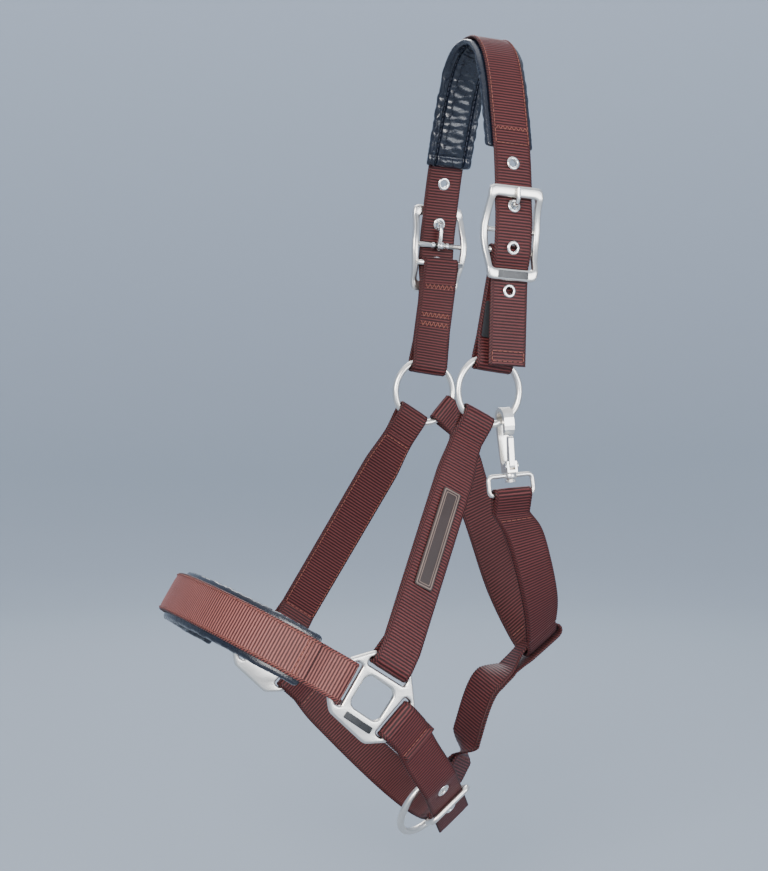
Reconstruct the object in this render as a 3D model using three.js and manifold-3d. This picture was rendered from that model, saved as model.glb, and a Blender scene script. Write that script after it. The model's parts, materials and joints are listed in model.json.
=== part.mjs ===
// Headcollar: webbing straps, padded crown and noseband, cast fittings, throat snap.
// Millimetres, +Z up, nose towards -X, near (left) side at -Y.
// Origin: underside of the crown pad, at the poll.
import * as THREE from 'three';
import { mergeVertices } from 'three/addons/utils/BufferGeometryUtils.js';
import Module from 'manifold-3d';

const wasm = await Module();
wasm.setup();

// Webbing and general fit
const WEB_WIDTH = 25;
const WEB_THICK = 2.2;
const DOUBLE = 2 * WEB_THICK;
const GAP = 0.3;
const SLIVER = 0.02;

// Crown
const CROWN_TILT = THREE.MathUtils.degToRad(3.2);
const PAD_WIDTH = 31.5;
const PAD_THICK = 6;
const CROWN_PAD_END = 67;
const STRAP_ABOVE_PAD = PAD_THICK / 2 + GAP + WEB_THICK / 2;

// Crown buckles
const BUCKLE_Y = -58;
const BUCKLE_DROP = 120;
const FRAME_THICK = 4;
const FRAME_DISH = 5.5;
const DISH_REACH = 21.5;
const PIN_U = -2;
const PIN_N = -5.4;
const STRAP_BAR_U = 10;
const STRAP_BAR_N = -7;
const BAR_RADIUS = 1.6;
const TAIL_SPLIT = 149.2;
const TAIL_END = 199.6;

// Eyelets
const EYELET_HOLE = 2.25;
const EYELET_BARREL = 2.75;
const EYELET_FLANGE = 4.25;
const EYELET_FLANGE_THICK = 0.45;
const EYELET_DROPS = [77.4, 103.2, 128.6, 154.2];

// Rings
const UPPER_RING = { radius: 20.4, wire: 2.1, x: -19, y: -49, z: -214.3 };
const NEAR_CHEEK_RING_ANGLE = -117;
const FAR_CHEEK_RING_ANGLE = -121.5;
const CHEEK_RING_WIDTH = 21;
const THROAT_RING_ANGLE = -41;
const THROAT_RING_WIDTH = 19;
const CHIN_RING = { radius: 22.75, wire: 2.25 };

// Nose fittings
const FITTING = { x: -111.1, y: -90, z: -387.2, thick: 4 };
const SLOT_CENTRE = 17.1;
const SLOT_WIDTH = 4.8;
const SLOT_LENGTH = 26.6;
const RIM_BAR = 4.4;
const CHEEK_ANGLE = 57;
const NOSE_ANGLE = 148;
const CHIN_ANGLE = -44;

// Noseband and chin
const NOSE_DEPTH = 79;
const CHIN_APEX = 91;
const BILLET_HEAD = 73.4;

// Throat
const THROAT_LOW = [34.5, -11, -375];
const BACK_LOOP_WIDTH = 14;

const LOOP_REACH = 12;

const v3 = (x, y, z) => new THREE.Vector3(x, y, z);
const deg = (a) => THREE.MathUtils.degToRad(a);
const polar = (angle) => v3(Math.cos(deg(angle)), 0, Math.sin(deg(angle)));
const along = (p, d, k) => p.clone().addScaledVector(d, k);

// Solids ---------------------------------------------------------------

function signedVolume(positions, index) {
  const a = v3();
  const b = v3();
  const c = v3();
  let sum = 0;
  for (let i = 0; i < index.length; i += 3) {
    a.fromArray(positions, index[i] * 3);
    b.fromArray(positions, index[i + 1] * 3);
    c.fromArray(positions, index[i + 2] * 3);
    sum += a.dot(b.cross(c));
  }
  return sum;
}

function toSolid(geometry) {
  const bare = geometry.clone();
  bare.deleteAttribute('normal');
  bare.deleteAttribute('uv');
  const merged = mergeVertices(bare, 1e-4);
  const vertProperties = new Float32Array(merged.attributes.position.array);
  const triVerts = new Uint32Array(merged.index.array);
  if (signedVolume(vertProperties, triVerts) < 0) {
    for (let i = 0; i < triVerts.length; i += 3) {
      [triVerts[i], triVerts[i + 1]] = [triVerts[i + 1], triVerts[i]];
    }
  }
  return new wasm.Manifold(new wasm.Mesh({ numProp: 3, vertProperties, triVerts }));
}

function toGeometry(solid) {
  const mesh = solid.simplify(SLIVER).getMesh();
  const geometry = new THREE.BufferGeometry();
  geometry.setAttribute('position', new THREE.BufferAttribute(mesh.vertProperties, 3));
  geometry.setIndex(new THREE.BufferAttribute(mesh.triVerts, 1));
  geometry.computeVertexNormals();
  return geometry;
}

function joined(solids) {
  return solids.reduce((sum, s) => sum.add(s));
}

// Places a shape drawn in local x, y with depth z.
function placed(geometry, origin, xAxis, zAxis) {
  const yAxis = zAxis.clone().cross(xAxis).normalize();
  const matrix = new THREE.Matrix4().makeBasis(xAxis, yAxis, zAxis);
  matrix.setPosition(origin);
  return toSolid(geometry.clone().applyMatrix4(matrix));
}

function extruded(points, depth, holes = []) {
  const shape = new THREE.Shape(points);
  holes.forEach((h) => shape.holes.push(new THREE.Path(h)));
  const geometry = new THREE.ExtrudeGeometry(shape, { depth, bevelEnabled: false });
  geometry.translate(0, 0, -depth / 2);
  return geometry;
}

function cylinder(centre, axis, radius, length, sides = 10) {
  const geometry = new THREE.CylinderGeometry(radius, radius, length, sides);
  const turn = new THREE.Quaternion().setFromUnitVectors(v3(0, 1, 0), axis);
  geometry.applyQuaternion(turn).translate(centre.x, centre.y, centre.z);
  return toSolid(geometry);
}

function block(centre, xAxis, zAxis, sizes) {
  return placed(new THREE.BoxGeometry(...sizes), centre, xAxis, zAxis);
}

function torus(centre, axis, radius, wire, sides = 26) {
  const geometry = new THREE.TorusGeometry(radius, wire, 6, sides);
  const turn = new THREE.Quaternion().setFromUnitVectors(v3(0, 0, 1), axis);
  geometry.applyQuaternion(turn).translate(centre.x, centre.y, centre.z);
  return toSolid(geometry);
}

// Outlines -------------------------------------------------------------

function circlePoints(x, y, radius, count = 12) {
  const points = [];
  for (let i = 0; i < count; i += 1) {
    const a = (2 * Math.PI * i) / count;
    points.push(new THREE.Vector2(x + radius * Math.cos(a), y + radius * Math.sin(a)));
  }
  return points;
}

function hull(points) {
  const sorted = [...points].sort((a, b) => a.x - b.x || a.y - b.y);
  const turns = (o, a, b) => (a.x - o.x) * (b.y - o.y) - (a.y - o.y) * (b.x - o.x);
  const half = (list) => {
    const out = [];
    for (const p of list) {
      while (out.length > 1 && turns(out[out.length - 2], out[out.length - 1], p) <= 1e-9) {
        out.pop();
      }
      out.push(p);
    }
    out.pop();
    return out;
  };
  return half(sorted).concat(half(sorted.reverse()));
}

function roundedBar(x, y, dirX, dirY, halfLength, radius) {
  const ends = [-1, 1].map((k) => circlePoints(
    x + k * (halfLength - radius) * dirX,
    y + k * (halfLength - radius) * dirY,
    radius,
    8,
  ));
  return hull(ends.flat());
}

function roundedRect(halfX, halfY, radius, angle, x = 0, y = 0) {
  const corners = [[1, 1], [-1, 1], [-1, -1], [1, -1]].map(([i, j]) => circlePoints(
    i * (halfX - radius),
    j * (halfY - radius),
    radius,
    8,
  ));
  const turned = hull(corners.flat());
  turned.forEach((p) => p.rotateAround(new THREE.Vector2(), deg(angle)).add({ x, y }));
  return turned;
}

// Straps ---------------------------------------------------------------

function stationsOn(points, widths, count) {
  const curve = new THREE.CatmullRomCurve3(points, false, 'centripetal');
  const list = [];
  for (let i = 0; i < count; i += 1) {
    const t = i / (count - 1);
    const step = t * (widths.length - 1);
    const k = Math.min(Math.floor(step), widths.length - 2);
    const w = widths[k].clone().lerp(widths[k + 1], step - k).normalize();
    const n = w.clone().cross(curve.getTangent(t)).normalize();
    list.push({ p: curve.getPoint(t), w, n, scale: 1 });
  }
  return list;
}

function ribbon(stations, thickness, width = WEB_WIDTH) {
  const last = stations.length - 1;
  const box = new THREE.BoxGeometry(1, thickness, width, last, 1, 1);
  const position = box.attributes.position;
  for (let i = 0; i < position.count; i += 1) {
    const s = stations[Math.round((position.getX(i) + 0.5) * last)];
    const p = along(along(s.p, s.n, position.getY(i)), s.w, position.getZ(i) * s.scale);
    position.setXYZ(i, p.x, p.y, p.z);
  }
  return toSolid(box);
}

function shifted(stations, offset) {
  return stations.map((s) => ({ ...s, p: along(s.p, s.n, offset) }));
}

// Loop of webbing round a bar: dir points from the bar into the strap.
function loopEnd({ bar, dir, w, hole, stretch = [0, 0], slab = DOUBLE, width = WEB_WIDTH,
  reach = LOOP_REACH }) {
  const outer = hole + WEB_THICK;
  const outline = hull([
    ...circlePoints(stretch[0], 0, outer),
    ...circlePoints(stretch[1], 0, outer),
    new THREE.Vector2(reach, slab / 2),
    new THREE.Vector2(reach, -slab / 2),
  ]);
  const inner = hull([
    ...circlePoints(stretch[0], 0, hole),
    ...circlePoints(stretch[1], 0, hole),
  ]);
  const body = placed(extruded(outline, width), bar, dir, w);
  return body.subtract(placed(extruded(inner, width + 2), bar, dir, w));
}

function ringSagitta(radius, width = WEB_WIDTH) {
  return radius - Math.sqrt(radius * radius - (width * width) / 4);
}

function across(dir, w) {
  return w.clone().addScaledVector(dir, -w.dot(dir)).normalize();
}

function eyelet(centre, axis) {
  const face = WEB_THICK / 2 + 0.2;
  const edge = face + EYELET_FLANGE_THICK;
  const profile = [
    [EYELET_HOLE, -edge],
    [EYELET_FLANGE, -edge],
    [EYELET_FLANGE, -face],
    [EYELET_BARREL, -face],
    [EYELET_BARREL, face],
    [EYELET_FLANGE, face],
    [EYELET_FLANGE, edge],
    [EYELET_HOLE, edge],
    [EYELET_HOLE, -edge],
  ].map(([r, h]) => new THREE.Vector2(r, h));
  const geometry = new THREE.LatheGeometry(profile, 8);
  const turn = new THREE.Quaternion().setFromUnitVectors(v3(0, 1, 0), axis);
  geometry.applyQuaternion(turn).translate(centre.x, centre.y, centre.z);
  return toSolid(geometry);
}

function eyeletHole(centre, axis) {
  return cylinder(centre, axis, EYELET_BARREL + GAP, 8, 8);
}

// Crown ----------------------------------------------------------------

const crownDown = v3(-Math.sin(CROWN_TILT), 0, -Math.cos(CROWN_TILT));
const crownWidth = v3(Math.cos(CROWN_TILT), 0, -Math.sin(CROWN_TILT));
const outwards = v3(0, -1, 0);

const crownPoint = (y, drop) => along(v3(0, y, 0), crownDown, drop);
const bucklePoint = (u, n) => crownPoint(BUCKLE_Y - n, BUCKLE_DROP + u);

const BILLET_LOW_N = -3.4;
const BILLET_HIGH_N = -0.9;

function crownHalf(side) {
  const low = BUCKLE_Y - BILLET_LOW_N;
  const high = BUCKLE_Y - BILLET_HIGH_N;
  const half = [
    [-13.5, -4.6],
    [-25.5, 5.5],
    [-34.5, 22],
    [-42, 44],
    [-48.9, 67],
    [-52.6, 84],
    [low, 96],
    [low, 99],
    [-56.4, 108],
    [high, 116],
    [high, 132],
    [low, 141],
    [low, 145],
    [low, TAIL_SPLIT - GAP / 2],
  ];
  return half.map(([y, drop]) => crownPoint(-side * y, drop));
}

function crownStations() {
  const top = crownPoint(0, -STRAP_ABOVE_PAD - PAD_THICK / 2);
  const points = [...crownHalf(-1).reverse(), top, ...crownHalf(1)];
  return stationsOn(points, [crownWidth, crownWidth], 65);
}

function padStations(list) {
  const inside = list.filter((s) => -s.p.z < CROWN_PAD_END * Math.cos(CROWN_TILT));
  return shifted(inside, -STRAP_ABOVE_PAD);
}

// Strap centre and outward normal where the near strap reaches a given drop.
function crownAt(list, drop) {
  const near = list.filter((s) => s.p.y < -20);
  const k = near.findIndex((s) => s.p.dot(crownDown) < drop);
  const a = near[k];
  const b = near[k - 1];
  const d0 = a.p.dot(crownDown);
  const t = (drop - d0) / (b.p.dot(crownDown) - d0);
  const normal = a.n.clone().lerp(b.n, t).normalize();
  return { p: a.p.clone().lerp(b.p, t), n: normal };
}

const tailTop = crownPoint(BUCKLE_Y - BILLET_LOW_N, TAIL_SPLIT + GAP / 2);
const tailFoot = crownPoint(BUCKLE_Y - BILLET_LOW_N - 3, TAIL_END);

function tailStations() {
  return stationsOn([tailFoot, tailTop], [crownWidth, crownWidth], 2);
}

function tailEyelet() {
  const t = (EYELET_DROPS[3] - TAIL_SPLIT) / (TAIL_END - TAIL_SPLIT);
  return { p: tailTop.clone().lerp(tailFoot, t), n: tailStations()[0].n };
}

// Crown buckle: u runs down the strap, n outwards, x across.
const FRAME_OUTER = [
  [14.5, -28.5],
  [17.2, -27.4],
  [18, -24.5],
  [18.2, -18],
  [18.8, -11],
  [19.7, -4],
  [19.6, 3],
  [18.6, 10],
  [17.4, 17],
  [16.8, 24],
  [15.6, 27.5],
  [13, 28.5],
];
const FRAME_INNER = [
  [12.6, -21.5],
  [13.8, -20.4],
  [14.2, -14],
  [15, -7],
  [15.3, 0],
  [14.8, 7],
  [13.9, 14],
  [13.6, 20.4],
  [12.4, 21.5],
];

function mirroredOutline(half) {
  const right = half.map(([x, u]) => new THREE.Vector2(x, u));
  const left = half.map(([x, u]) => new THREE.Vector2(-x, u)).reverse();
  return [...right, ...left];
}

function dish(u) {
  return Math.abs(u) < DISH_REACH ? FRAME_DISH * (1 - (u / DISH_REACH) ** 2) : 0;
}

function buckleFrame() {
  const plate = extruded(mirroredOutline(FRAME_OUTER), FRAME_THICK, [
    mirroredOutline(FRAME_INNER),
  ]);
  const position = plate.attributes.position;
  for (let i = 0; i < position.count; i += 1) {
    position.setZ(i, position.getZ(i) - dish(position.getY(i)));
  }
  const xAxis = crownDown.clone().cross(outwards).normalize();
  const frame = placed(plate, bucklePoint(0, 0), xAxis, outwards);
  const bar = cylinder(bucklePoint(STRAP_BAR_U, STRAP_BAR_N), crownWidth, BAR_RADIUS, 32.6);
  const pocket = block(bucklePoint(25, 2), crownWidth, outwards, [20.6, 5, 1]);
  return frame.add(bar).subtract(pocket);
}

function buckleInlay() {
  return block(bucklePoint(25, 1.95), crownWidth, outwards, [20, 4.4, 0.3]);
}

function tonguePin() {
  const centre = bucklePoint(PIN_U, PIN_N);
  const collars = [-5, 5].map((k) => cylinder(
    along(centre, crownWidth, k),
    crownWidth,
    BAR_RADIUS + 0.7,
    2,
  ));
  return joined([cylinder(centre, crownWidth, BAR_RADIUS, 30), ...collars]);
}

function rodAlong(points, radius, sides = 6) {
  const curve = new THREE.CatmullRomCurve3(points, false, 'centripetal');
  const shape = new THREE.Shape(circlePoints(0, 0, radius, sides));
  const steps = Math.ceil(points.length * 1.4);
  return toSolid(new THREE.ExtrudeGeometry(shape, {
    extrudePath: curve,
    steps,
    bevelEnabled: false,
  }));
}

function knuckle(centre, axis, width, outer) {
  const ring = cylinder(centre, axis, outer, width, 12);
  return ring.subtract(cylinder(centre, axis, BAR_RADIUS + GAP, width + 2, 12));
}

function crownTongue() {
  const rod = rodAlong([
    bucklePoint(-4.4, -6),
    bucklePoint(-9, -6.8),
    bucklePoint(-13, -6.8),
    bucklePoint(-16, -5.4),
    bucklePoint(-17, -2.6),
    bucklePoint(-17.4, 0.2),
    bucklePoint(-18.6, 2.6),
    bucklePoint(-21.2, 3.6),
    bucklePoint(-24, 3.75),
    bucklePoint(-27, 3.75),
  ], 1.3);
  return knuckle(bucklePoint(PIN_U, PIN_N), crownWidth, 4, 3.1).add(rod);
}

// Carrier straps -------------------------------------------------------

const ringCentre = v3(UPPER_RING.x, UPPER_RING.y, UPPER_RING.z);
const ringHole = UPPER_RING.wire + 0.7;

function flatDirection(from, to) {
  return v3(to.x - from.x, 0, to.z - from.z).normalize();
}

function ringLoop(dir, width = WEB_WIDTH) {
  const bar = along(ringCentre, dir, UPPER_RING.radius);
  const w = v3(0, 1, 0).cross(dir).normalize();
  const sag = ringSagitta(UPPER_RING.radius, width);
  return { bar, dir, w, hole: ringHole, stretch: [-sag, 0], width };
}

// Narrows a run of stations towards the loop at its first end.
function gathered(list, width, count = 4) {
  const narrow = width / WEB_WIDTH;
  for (let i = 0; i < count; i += 1) {
    list[i].scale = Math.min(1, narrow + ((1 - narrow) * i) / count);
  }
  return list;
}

function strapBetween(head, foot, count) {
  const reach = LOOP_REACH - 0.5;
  const points = [along(head.bar, head.dir, reach), along(foot.bar, foot.dir, reach)];
  const list = stationsOn(points, [head.w, foot.w], count);
  const run = ribbon(gathered(list, head.width ?? WEB_WIDTH), DOUBLE);
  return joined([run, loopEnd(head), loopEnd(foot)]);
}

const strapBar = bucklePoint(STRAP_BAR_U, STRAP_BAR_N);
const carrierTop = { bar: strapBar, dir: crownDown, w: crownWidth, hole: BAR_RADIUS + 0.35 };
const carrierFoot = ringLoop(flatDirection(ringCentre, strapBar));

function carrierStrap() {
  const foot = { ...carrierFoot, w: carrierFoot.w.clone() };
  if (foot.w.dot(crownWidth) < 0) {
    foot.w.negate();
  }
  return strapBetween(carrierTop, foot, 5);
}

function hookPatch() {
  const centre = tailTop.clone().lerp(tailFoot, 0.56);
  const inward = tailStations()[0].n.clone().negate();
  const at = along(centre, inward, WEB_THICK / 2 + GAP + 0.3);
  return block(at, crownWidth, inward, [20, 34, 0.6]);
}

function loopPatch() {
  const run = carrierFoot.bar.clone().sub(strapBar).normalize();
  const centre = strapBar.clone().lerp(carrierFoot.bar, 0.66);
  const x = across(run, crownWidth);
  const out = run.clone().cross(x).normalize();
  const face = out.y < 0 ? out : out.negate();
  const at = along(centre, face, DOUBLE / 2 + GAP + 0.3);
  return block(at, x, face, [22, 22, 0.6]);
}

// Nose fittings --------------------------------------------------------

const fittingCentre = v3(FITTING.x, FITTING.y, FITTING.z);
const RIM_CENTRE = SLOT_CENTRE + SLOT_WIDTH / 2 + RIM_BAR / 2;

function fittingSlot(angle) {
  const d = polar(angle);
  return roundedRect(
    SLOT_WIDTH / 2,
    SLOT_LENGTH / 2,
    1.2,
    angle,
    SLOT_CENTRE * d.x,
    SLOT_CENTRE * d.z,
  );
}

function fittingOutline() {
  const bars = [CHEEK_ANGLE, NOSE_ANGLE, CHIN_ANGLE].map((angle) => {
    const d = polar(angle);
    return roundedBar(RIM_CENTRE * d.x, RIM_CENTRE * d.z, -d.z, d.x, 14, RIM_BAR / 2);
  });
  const body = [
    circlePoints(-20.5, -3.5, 5.5, 16),
    circlePoints(-3, -20, 5.5, 16),
  ];
  return hull([...bars.flat(), ...body.flat()]);
}

function noseFitting() {
  const holes = [CHEEK_ANGLE, NOSE_ANGLE, CHIN_ANGLE].map(fittingSlot);
  holes.push(roundedRect(10.3, 10.3, 4.5, 55));
  const plate = placed(
    extruded(fittingOutline(), FITTING.thick, holes),
    fittingCentre,
    v3(1, 0, 0),
    outwards,
  );
  const pocket = inlayBlock(19.6, 4.8, 1, FITTING.thick / 2);
  return plate.subtract(pocket);
}

function inlayBlock(length, height, depth, lift) {
  const down = polar(235);
  const side = polar(325);
  const at = along(along(fittingCentre, down, 15.8), outwards, lift);
  return block(at, side, outwards, [length, height, depth]);
}

function fittingInlay() {
  return inlayBlock(19, 4.2, 0.3, FITTING.thick / 2 - 0.05);
}

function rimLoop(angle) {
  const dir = polar(angle);
  const w = v3(0, 1, 0).cross(dir).normalize();
  const bar = along(fittingCentre, dir, RIM_CENTRE);
  return { bar, dir, w, hole: 2.6, stretch: [-0.9, 0.9] };
}

// Cheek straps ---------------------------------------------------------

const cheekFoot = rimLoop(CHEEK_ANGLE);

function cheekHead(angle) {
  const loop = ringLoop(polar(angle), CHEEK_RING_WIDTH);
  return { ...loop, w: loop.w.clone().negate() };
}

function cheekStrap(angle) {
  return strapBetween(cheekHead(angle), cheekFoot, 12);
}

function cheekPatch() {
  const head = cheekHead(NEAR_CHEEK_RING_ANGLE);
  const foot = cheekFoot;
  const top = along(head.bar, head.dir, LOOP_REACH);
  const low = along(foot.bar, foot.dir, LOOP_REACH);
  const run = low.clone().sub(top).normalize();
  const w = across(run, head.w.clone().add(foot.w).normalize());
  const out = run.clone().cross(w).normalize();
  const face = out.y < 0 ? out : out.negate();
  const centre = top.clone().lerp(low, 0.5);
  return block(along(centre, face, DOUBLE / 2 + GAP + 0.6), run, face, [64, 12, 1.2]);
}

// Noseband -------------------------------------------------------------

const noseNear = rimLoop(NOSE_ANGLE);
const noseRun = polar(149);
const noseWidth = v3(0, 1, 0).cross(noseRun).normalize();
const nosePoint = (s, y) => along(v3(noseNear.bar.x, y, noseNear.bar.z), noseRun, s);

function noseHalf(side) {
  const half = [
    [LOOP_REACH - 0.5, -90],
    [24, -88.4],
    [42, -79.5],
    [58, -64.5],
    [70, -45],
    [76.6, -22],
  ];
  return half.map(([s, y]) => nosePoint(s, -side * y));
}

function noseStations() {
  const points = [...noseHalf(-1), nosePoint(NOSE_DEPTH, 0), ...noseHalf(1).reverse()];
  return stationsOn(points, [noseWidth, noseWidth], 35);
}

function mirrored(loop) {
  const flip = (p) => v3(p.x, -p.y, p.z);
  return { ...loop, bar: flip(loop.bar), dir: flip(loop.dir), w: flip(loop.w).negate() };
}

function nosebandBase() {
  const run = ribbon(noseStations(), WEB_THICK);
  return joined([run, loopEnd(noseNear), loopEnd(mirrored(noseNear))]);
}

function nosebandInner() {
  return noseStations().slice(2, -2);
}

// Which way along the station normal leads out of the noseband.
function outwardSign(list) {
  const mid = list[Math.floor(list.length / 2)];
  return mid.n.dot(noseRun) > 0 ? 1 : -1;
}

function nosebandOverlay() {
  const list = nosebandInner();
  return ribbon(shifted(list, outwardSign(list) * (WEB_THICK + GAP)), WEB_THICK);
}

function nosebandPad() {
  const list = nosebandInner();
  const offset = -outwardSign(list) * (WEB_THICK / 2 + GAP + PAD_THICK / 2);
  return ribbon(shifted(list, offset), PAD_THICK, PAD_WIDTH);
}

// Chin -----------------------------------------------------------------

const chinNear = rimLoop(CHIN_ANGLE);
const chinRun = v3(0.633, 0, -0.774).normalize();
const chinWidth = chinRun.clone().cross(v3(0, 1, 0)).normalize();
const chinPoint = (s, y) => along(v3(chinNear.bar.x, y, chinNear.bar.z), chinRun, s);

// Buckle frame of the chin: t along the billet, n out of it.
const billetHead = [BILLET_HEAD, -54.8];
const billetT = chinRun.clone().multiplyScalar(0.74).add(v3(0, 0.6726, 0)).normalize();
const billetN = chinRun.clone().multiplyScalar(0.6726).add(v3(0, -0.74, 0)).normalize();
const chinFrame = (t, n) => along(along(chinPoint(...billetHead), billetT, t), billetN, n);
const HEEL_T = 16;
const HEEL_N = -5.75;
const TAIL_T = 27;

function nearChinLoop() {
  return { ...chinNear, w: chinNear.w.clone() };
}

function signedWidth(w) {
  return w.dot(chinWidth) < 0 ? w.clone().negate() : w.clone();
}

function nearChinStrap() {
  const loop = nearChinLoop();
  const points = [
    along(loop.bar, loop.dir, LOOP_REACH - 0.5),
    chinPoint(28, -84),
    chinFrame(-26, 0),
    chinFrame(-20, 0),
    chinFrame(-12, 0),
    chinFrame(0, 0),
    chinFrame(12, 0),
    chinFrame(TAIL_T, 0),
  ];
  const widths = [signedWidth(loop.w), chinWidth, chinWidth, chinWidth];
  const run = ribbon(stationsOn(points, widths, 22), WEB_THICK);
  const holes = chinEyelets().map((e) => eyeletHole(e, billetN));
  return holes.reduce((s, h) => s.subtract(h), run.add(loopEnd(loop)));
}

function chinEyelets() {
  return [chinFrame(-18.8, 0), chinFrame(8.3, 0)];
}

function chinHeelLoop() {
  const dir = chinRun.clone().multiplyScalar(0.3).add(v3(0, 0.954, 0)).normalize();
  return { bar: chinFrame(HEEL_T, HEEL_N), dir, w: chinWidth, hole: BAR_RADIUS + 0.35 };
}

function farChinStrap() {
  const heel = chinHeelLoop();
  const far = mirrored(nearChinLoop());
  const points = [
    along(heel.bar, heel.dir, LOOP_REACH - 0.5),
    chinPoint(88.6, -13),
    chinPoint(89.4, 4),
    chinPoint(85, 24),
    chinPoint(75, 43),
    chinPoint(60, 60),
    chinPoint(42, 74.5),
    chinPoint(25, 84.5),
    along(far.bar, far.dir, LOOP_REACH - 0.5),
  ];
  const widths = [chinWidth, chinWidth, chinWidth, signedWidth(far.w)];
  const run = ribbon(stationsOn(points, widths, 32), WEB_THICK);
  const slotDir = heel.dir.clone();
  const slot = block(along(heel.bar, slotDir, 1), slotDir, chinWidth, [15, 14, 6.4]);
  return joined([run, loopEnd(heel), loopEnd(far)]).subtract(slot);
}

function chinBuckle() {
  const head = chinFrame(0, 3);
  const heel = chinFrame(HEEL_T, HEEL_N);
  const outline = hull([
    ...circlePoints(0, 3, 2.1),
    ...circlePoints(HEEL_T, HEEL_N, 2.4),
  ]);
  const z = billetT.clone().cross(billetN).normalize();
  const rails = [-14.8, 14.8].map((k) => placed(
    extruded(outline, 2.8),
    along(chinFrame(0, 0), z, k),
    billetT,
    z,
  ));
  const bars = [
    cylinder(head, z, 1.7, 29),
    cylinder(heel, z, BAR_RADIUS, 29),
  ];
  return joined([...rails, ...bars]);
}

function chinTongue() {
  const rod = rodAlong([
    chinFrame(HEEL_T - 2.5, HEEL_N + 0.2),
    chinFrame(9, -4.2),
    chinFrame(3, -3.6),
    chinFrame(-2, -3.4),
  ], 1.2);
  return knuckle(chinFrame(HEEL_T, HEEL_N), chinWidth, 4, 3).add(rod);
}

const chinRingCentre = chinPoint(CHIN_APEX, 0);
const chinRingAxis = chinRun.clone().multiplyScalar(0.646).add(v3(0, -0.763, 0)).normalize();
const chinRingSide = chinRun.clone().multiplyScalar(0.763).add(v3(0, 0.646, 0)).normalize();

// Back strap -----------------------------------------------------------

const backDir = chinWidth.clone().multiplyScalar(0.954);
backDir.addScaledVector(chinRingSide, -0.3).normalize();
const backFootWidth = chinWidth.clone().multiplyScalar(0.3);
backFootWidth.addScaledVector(chinRingSide, 0.954).normalize();

const throatLow = v3(...THROAT_LOW);
const throatLowWidth = v3(0.8, 0, 0.6);
const throatIn = v3(-0.6, 0, 0.8);
const throatPoint = (y, n, w) => along(
  along(along(throatLow, v3(0, 1, 0), y), throatIn, n),
  throatLowWidth,
  w,
);

function backFootLoop() {
  const bar = along(chinRingCentre, backDir, CHIN_RING.radius);
  return {
    bar,
    dir: backDir,
    w: backFootWidth,
    hole: CHIN_RING.wire + 0.65,
    stretch: [-ringSagitta(CHIN_RING.radius), 0],
  };
}

function backHeadLoop() {
  return {
    bar: throatPoint(0, 1.5, 0),
    dir: throatLowWidth.clone().negate(),
    w: v3(0, 1, 0),
    hole: 3.3,
    stretch: [-12.4, 12.4],
    width: BACK_LOOP_WIDTH,
    reach: 26,
  };
}

function backStrap() {
  const foot = backFootLoop();
  const head = backHeadLoop();
  const points = [
    along(foot.bar, foot.dir, LOOP_REACH - 0.5),
    along(foot.bar, foot.dir, 30).add(v3(-5, 0, 3)),
    along(head.bar, head.dir, 40).add(v3(-4, 0, 0)),
    along(head.bar, head.dir, 25.5),
  ];
  const list = stationsOn(points, [foot.w, head.w], 14);
  const narrow = BACK_LOOP_WIDTH / WEB_WIDTH;
  const scales = [0.9, 0.76, 0.64, narrow];
  scales.forEach((k, i) => {
    list[list.length - scales.length + i].scale = k;
  });
  return joined([ribbon(list, DOUBLE), loopEnd(foot), loopEnd(head)]);
}

// Throat strap and snap ------------------------------------------------

const snapCrook = along(ringCentre, polar(-59), UPPER_RING.radius);
const snapDown = v3(0.07, -0.088, -0.994).normalize();
const snapSide = across(snapDown, v3(0.993, 0, 0.119));
const snapOut = snapDown.clone().cross(snapSide).normalize();
const snapPoint = (v, out) => along(along(snapCrook, snapDown, v), snapOut, out);
const EYE_TOP = 34;
const EYE_FOOT = 45;
const throatSplit = throatPoint(-12, 10.2, 2.2);

function farThroatLoop() {
  return mirrored(ringLoop(polar(THROAT_RING_ANGLE), THROAT_RING_WIDTH));
}

function throatStrap() {
  const loop = farThroatLoop();
  const points = [
    along(loop.bar, loop.dir, LOOP_REACH - 0.5),
    v3(6, 44, -254),
    v3(9, 35, -278),
    v3(13.5, 25, -303),
    v3(20, 11, -338),
    throatPoint(12, 11, 2.4),
    throatPoint(8.5, 4.4, 1),
    throatPoint(4.5, 1, 0.3),
    throatPoint(0, 0, 0),
    throatPoint(-4.5, 1, 0.3),
    throatPoint(-8.5, 4.4, 1),
    throatSplit,
  ];
  const low = Array(5).fill(throatLowWidth);
  const widths = [loop.w, v3(0.95, 0, 0.31), v3(0.9, 0, 0.43), ...low];
  const list = gathered(stationsOn(points, widths, 40), THROAT_RING_WIDTH, 6);
  return ribbon(list, WEB_THICK).add(loopEnd(loop));
}

function eyeLoop() {
  const bar = snapPoint(EYE_FOOT, 0);
  const dir = across(snapSide, v3(0.39, 0.24, -0.89));
  return { bar, dir, w: snapSide, hole: 2.35 };
}

function throatBranch() {
  const loop = eyeLoop();
  const start = throatPoint(-12.15, 10.6, 2.3);
  const points = [
    start,
    throatPoint(-16.5, 22, 5.5),
    v3(26, -33, -345),
    v3(15.6, -40.5, -322),
    v3(5.5, -46.5, -300),
    along(loop.bar, loop.dir, LOOP_REACH - 0.5),
  ];
  const list = stationsOn(points, [throatLowWidth, v3(0.93, 0, 0.36), loop.w], 22);
  return ribbon(list, DOUBLE - 0.6).add(loopEnd({ ...loop, slab: DOUBLE }));
}

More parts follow.
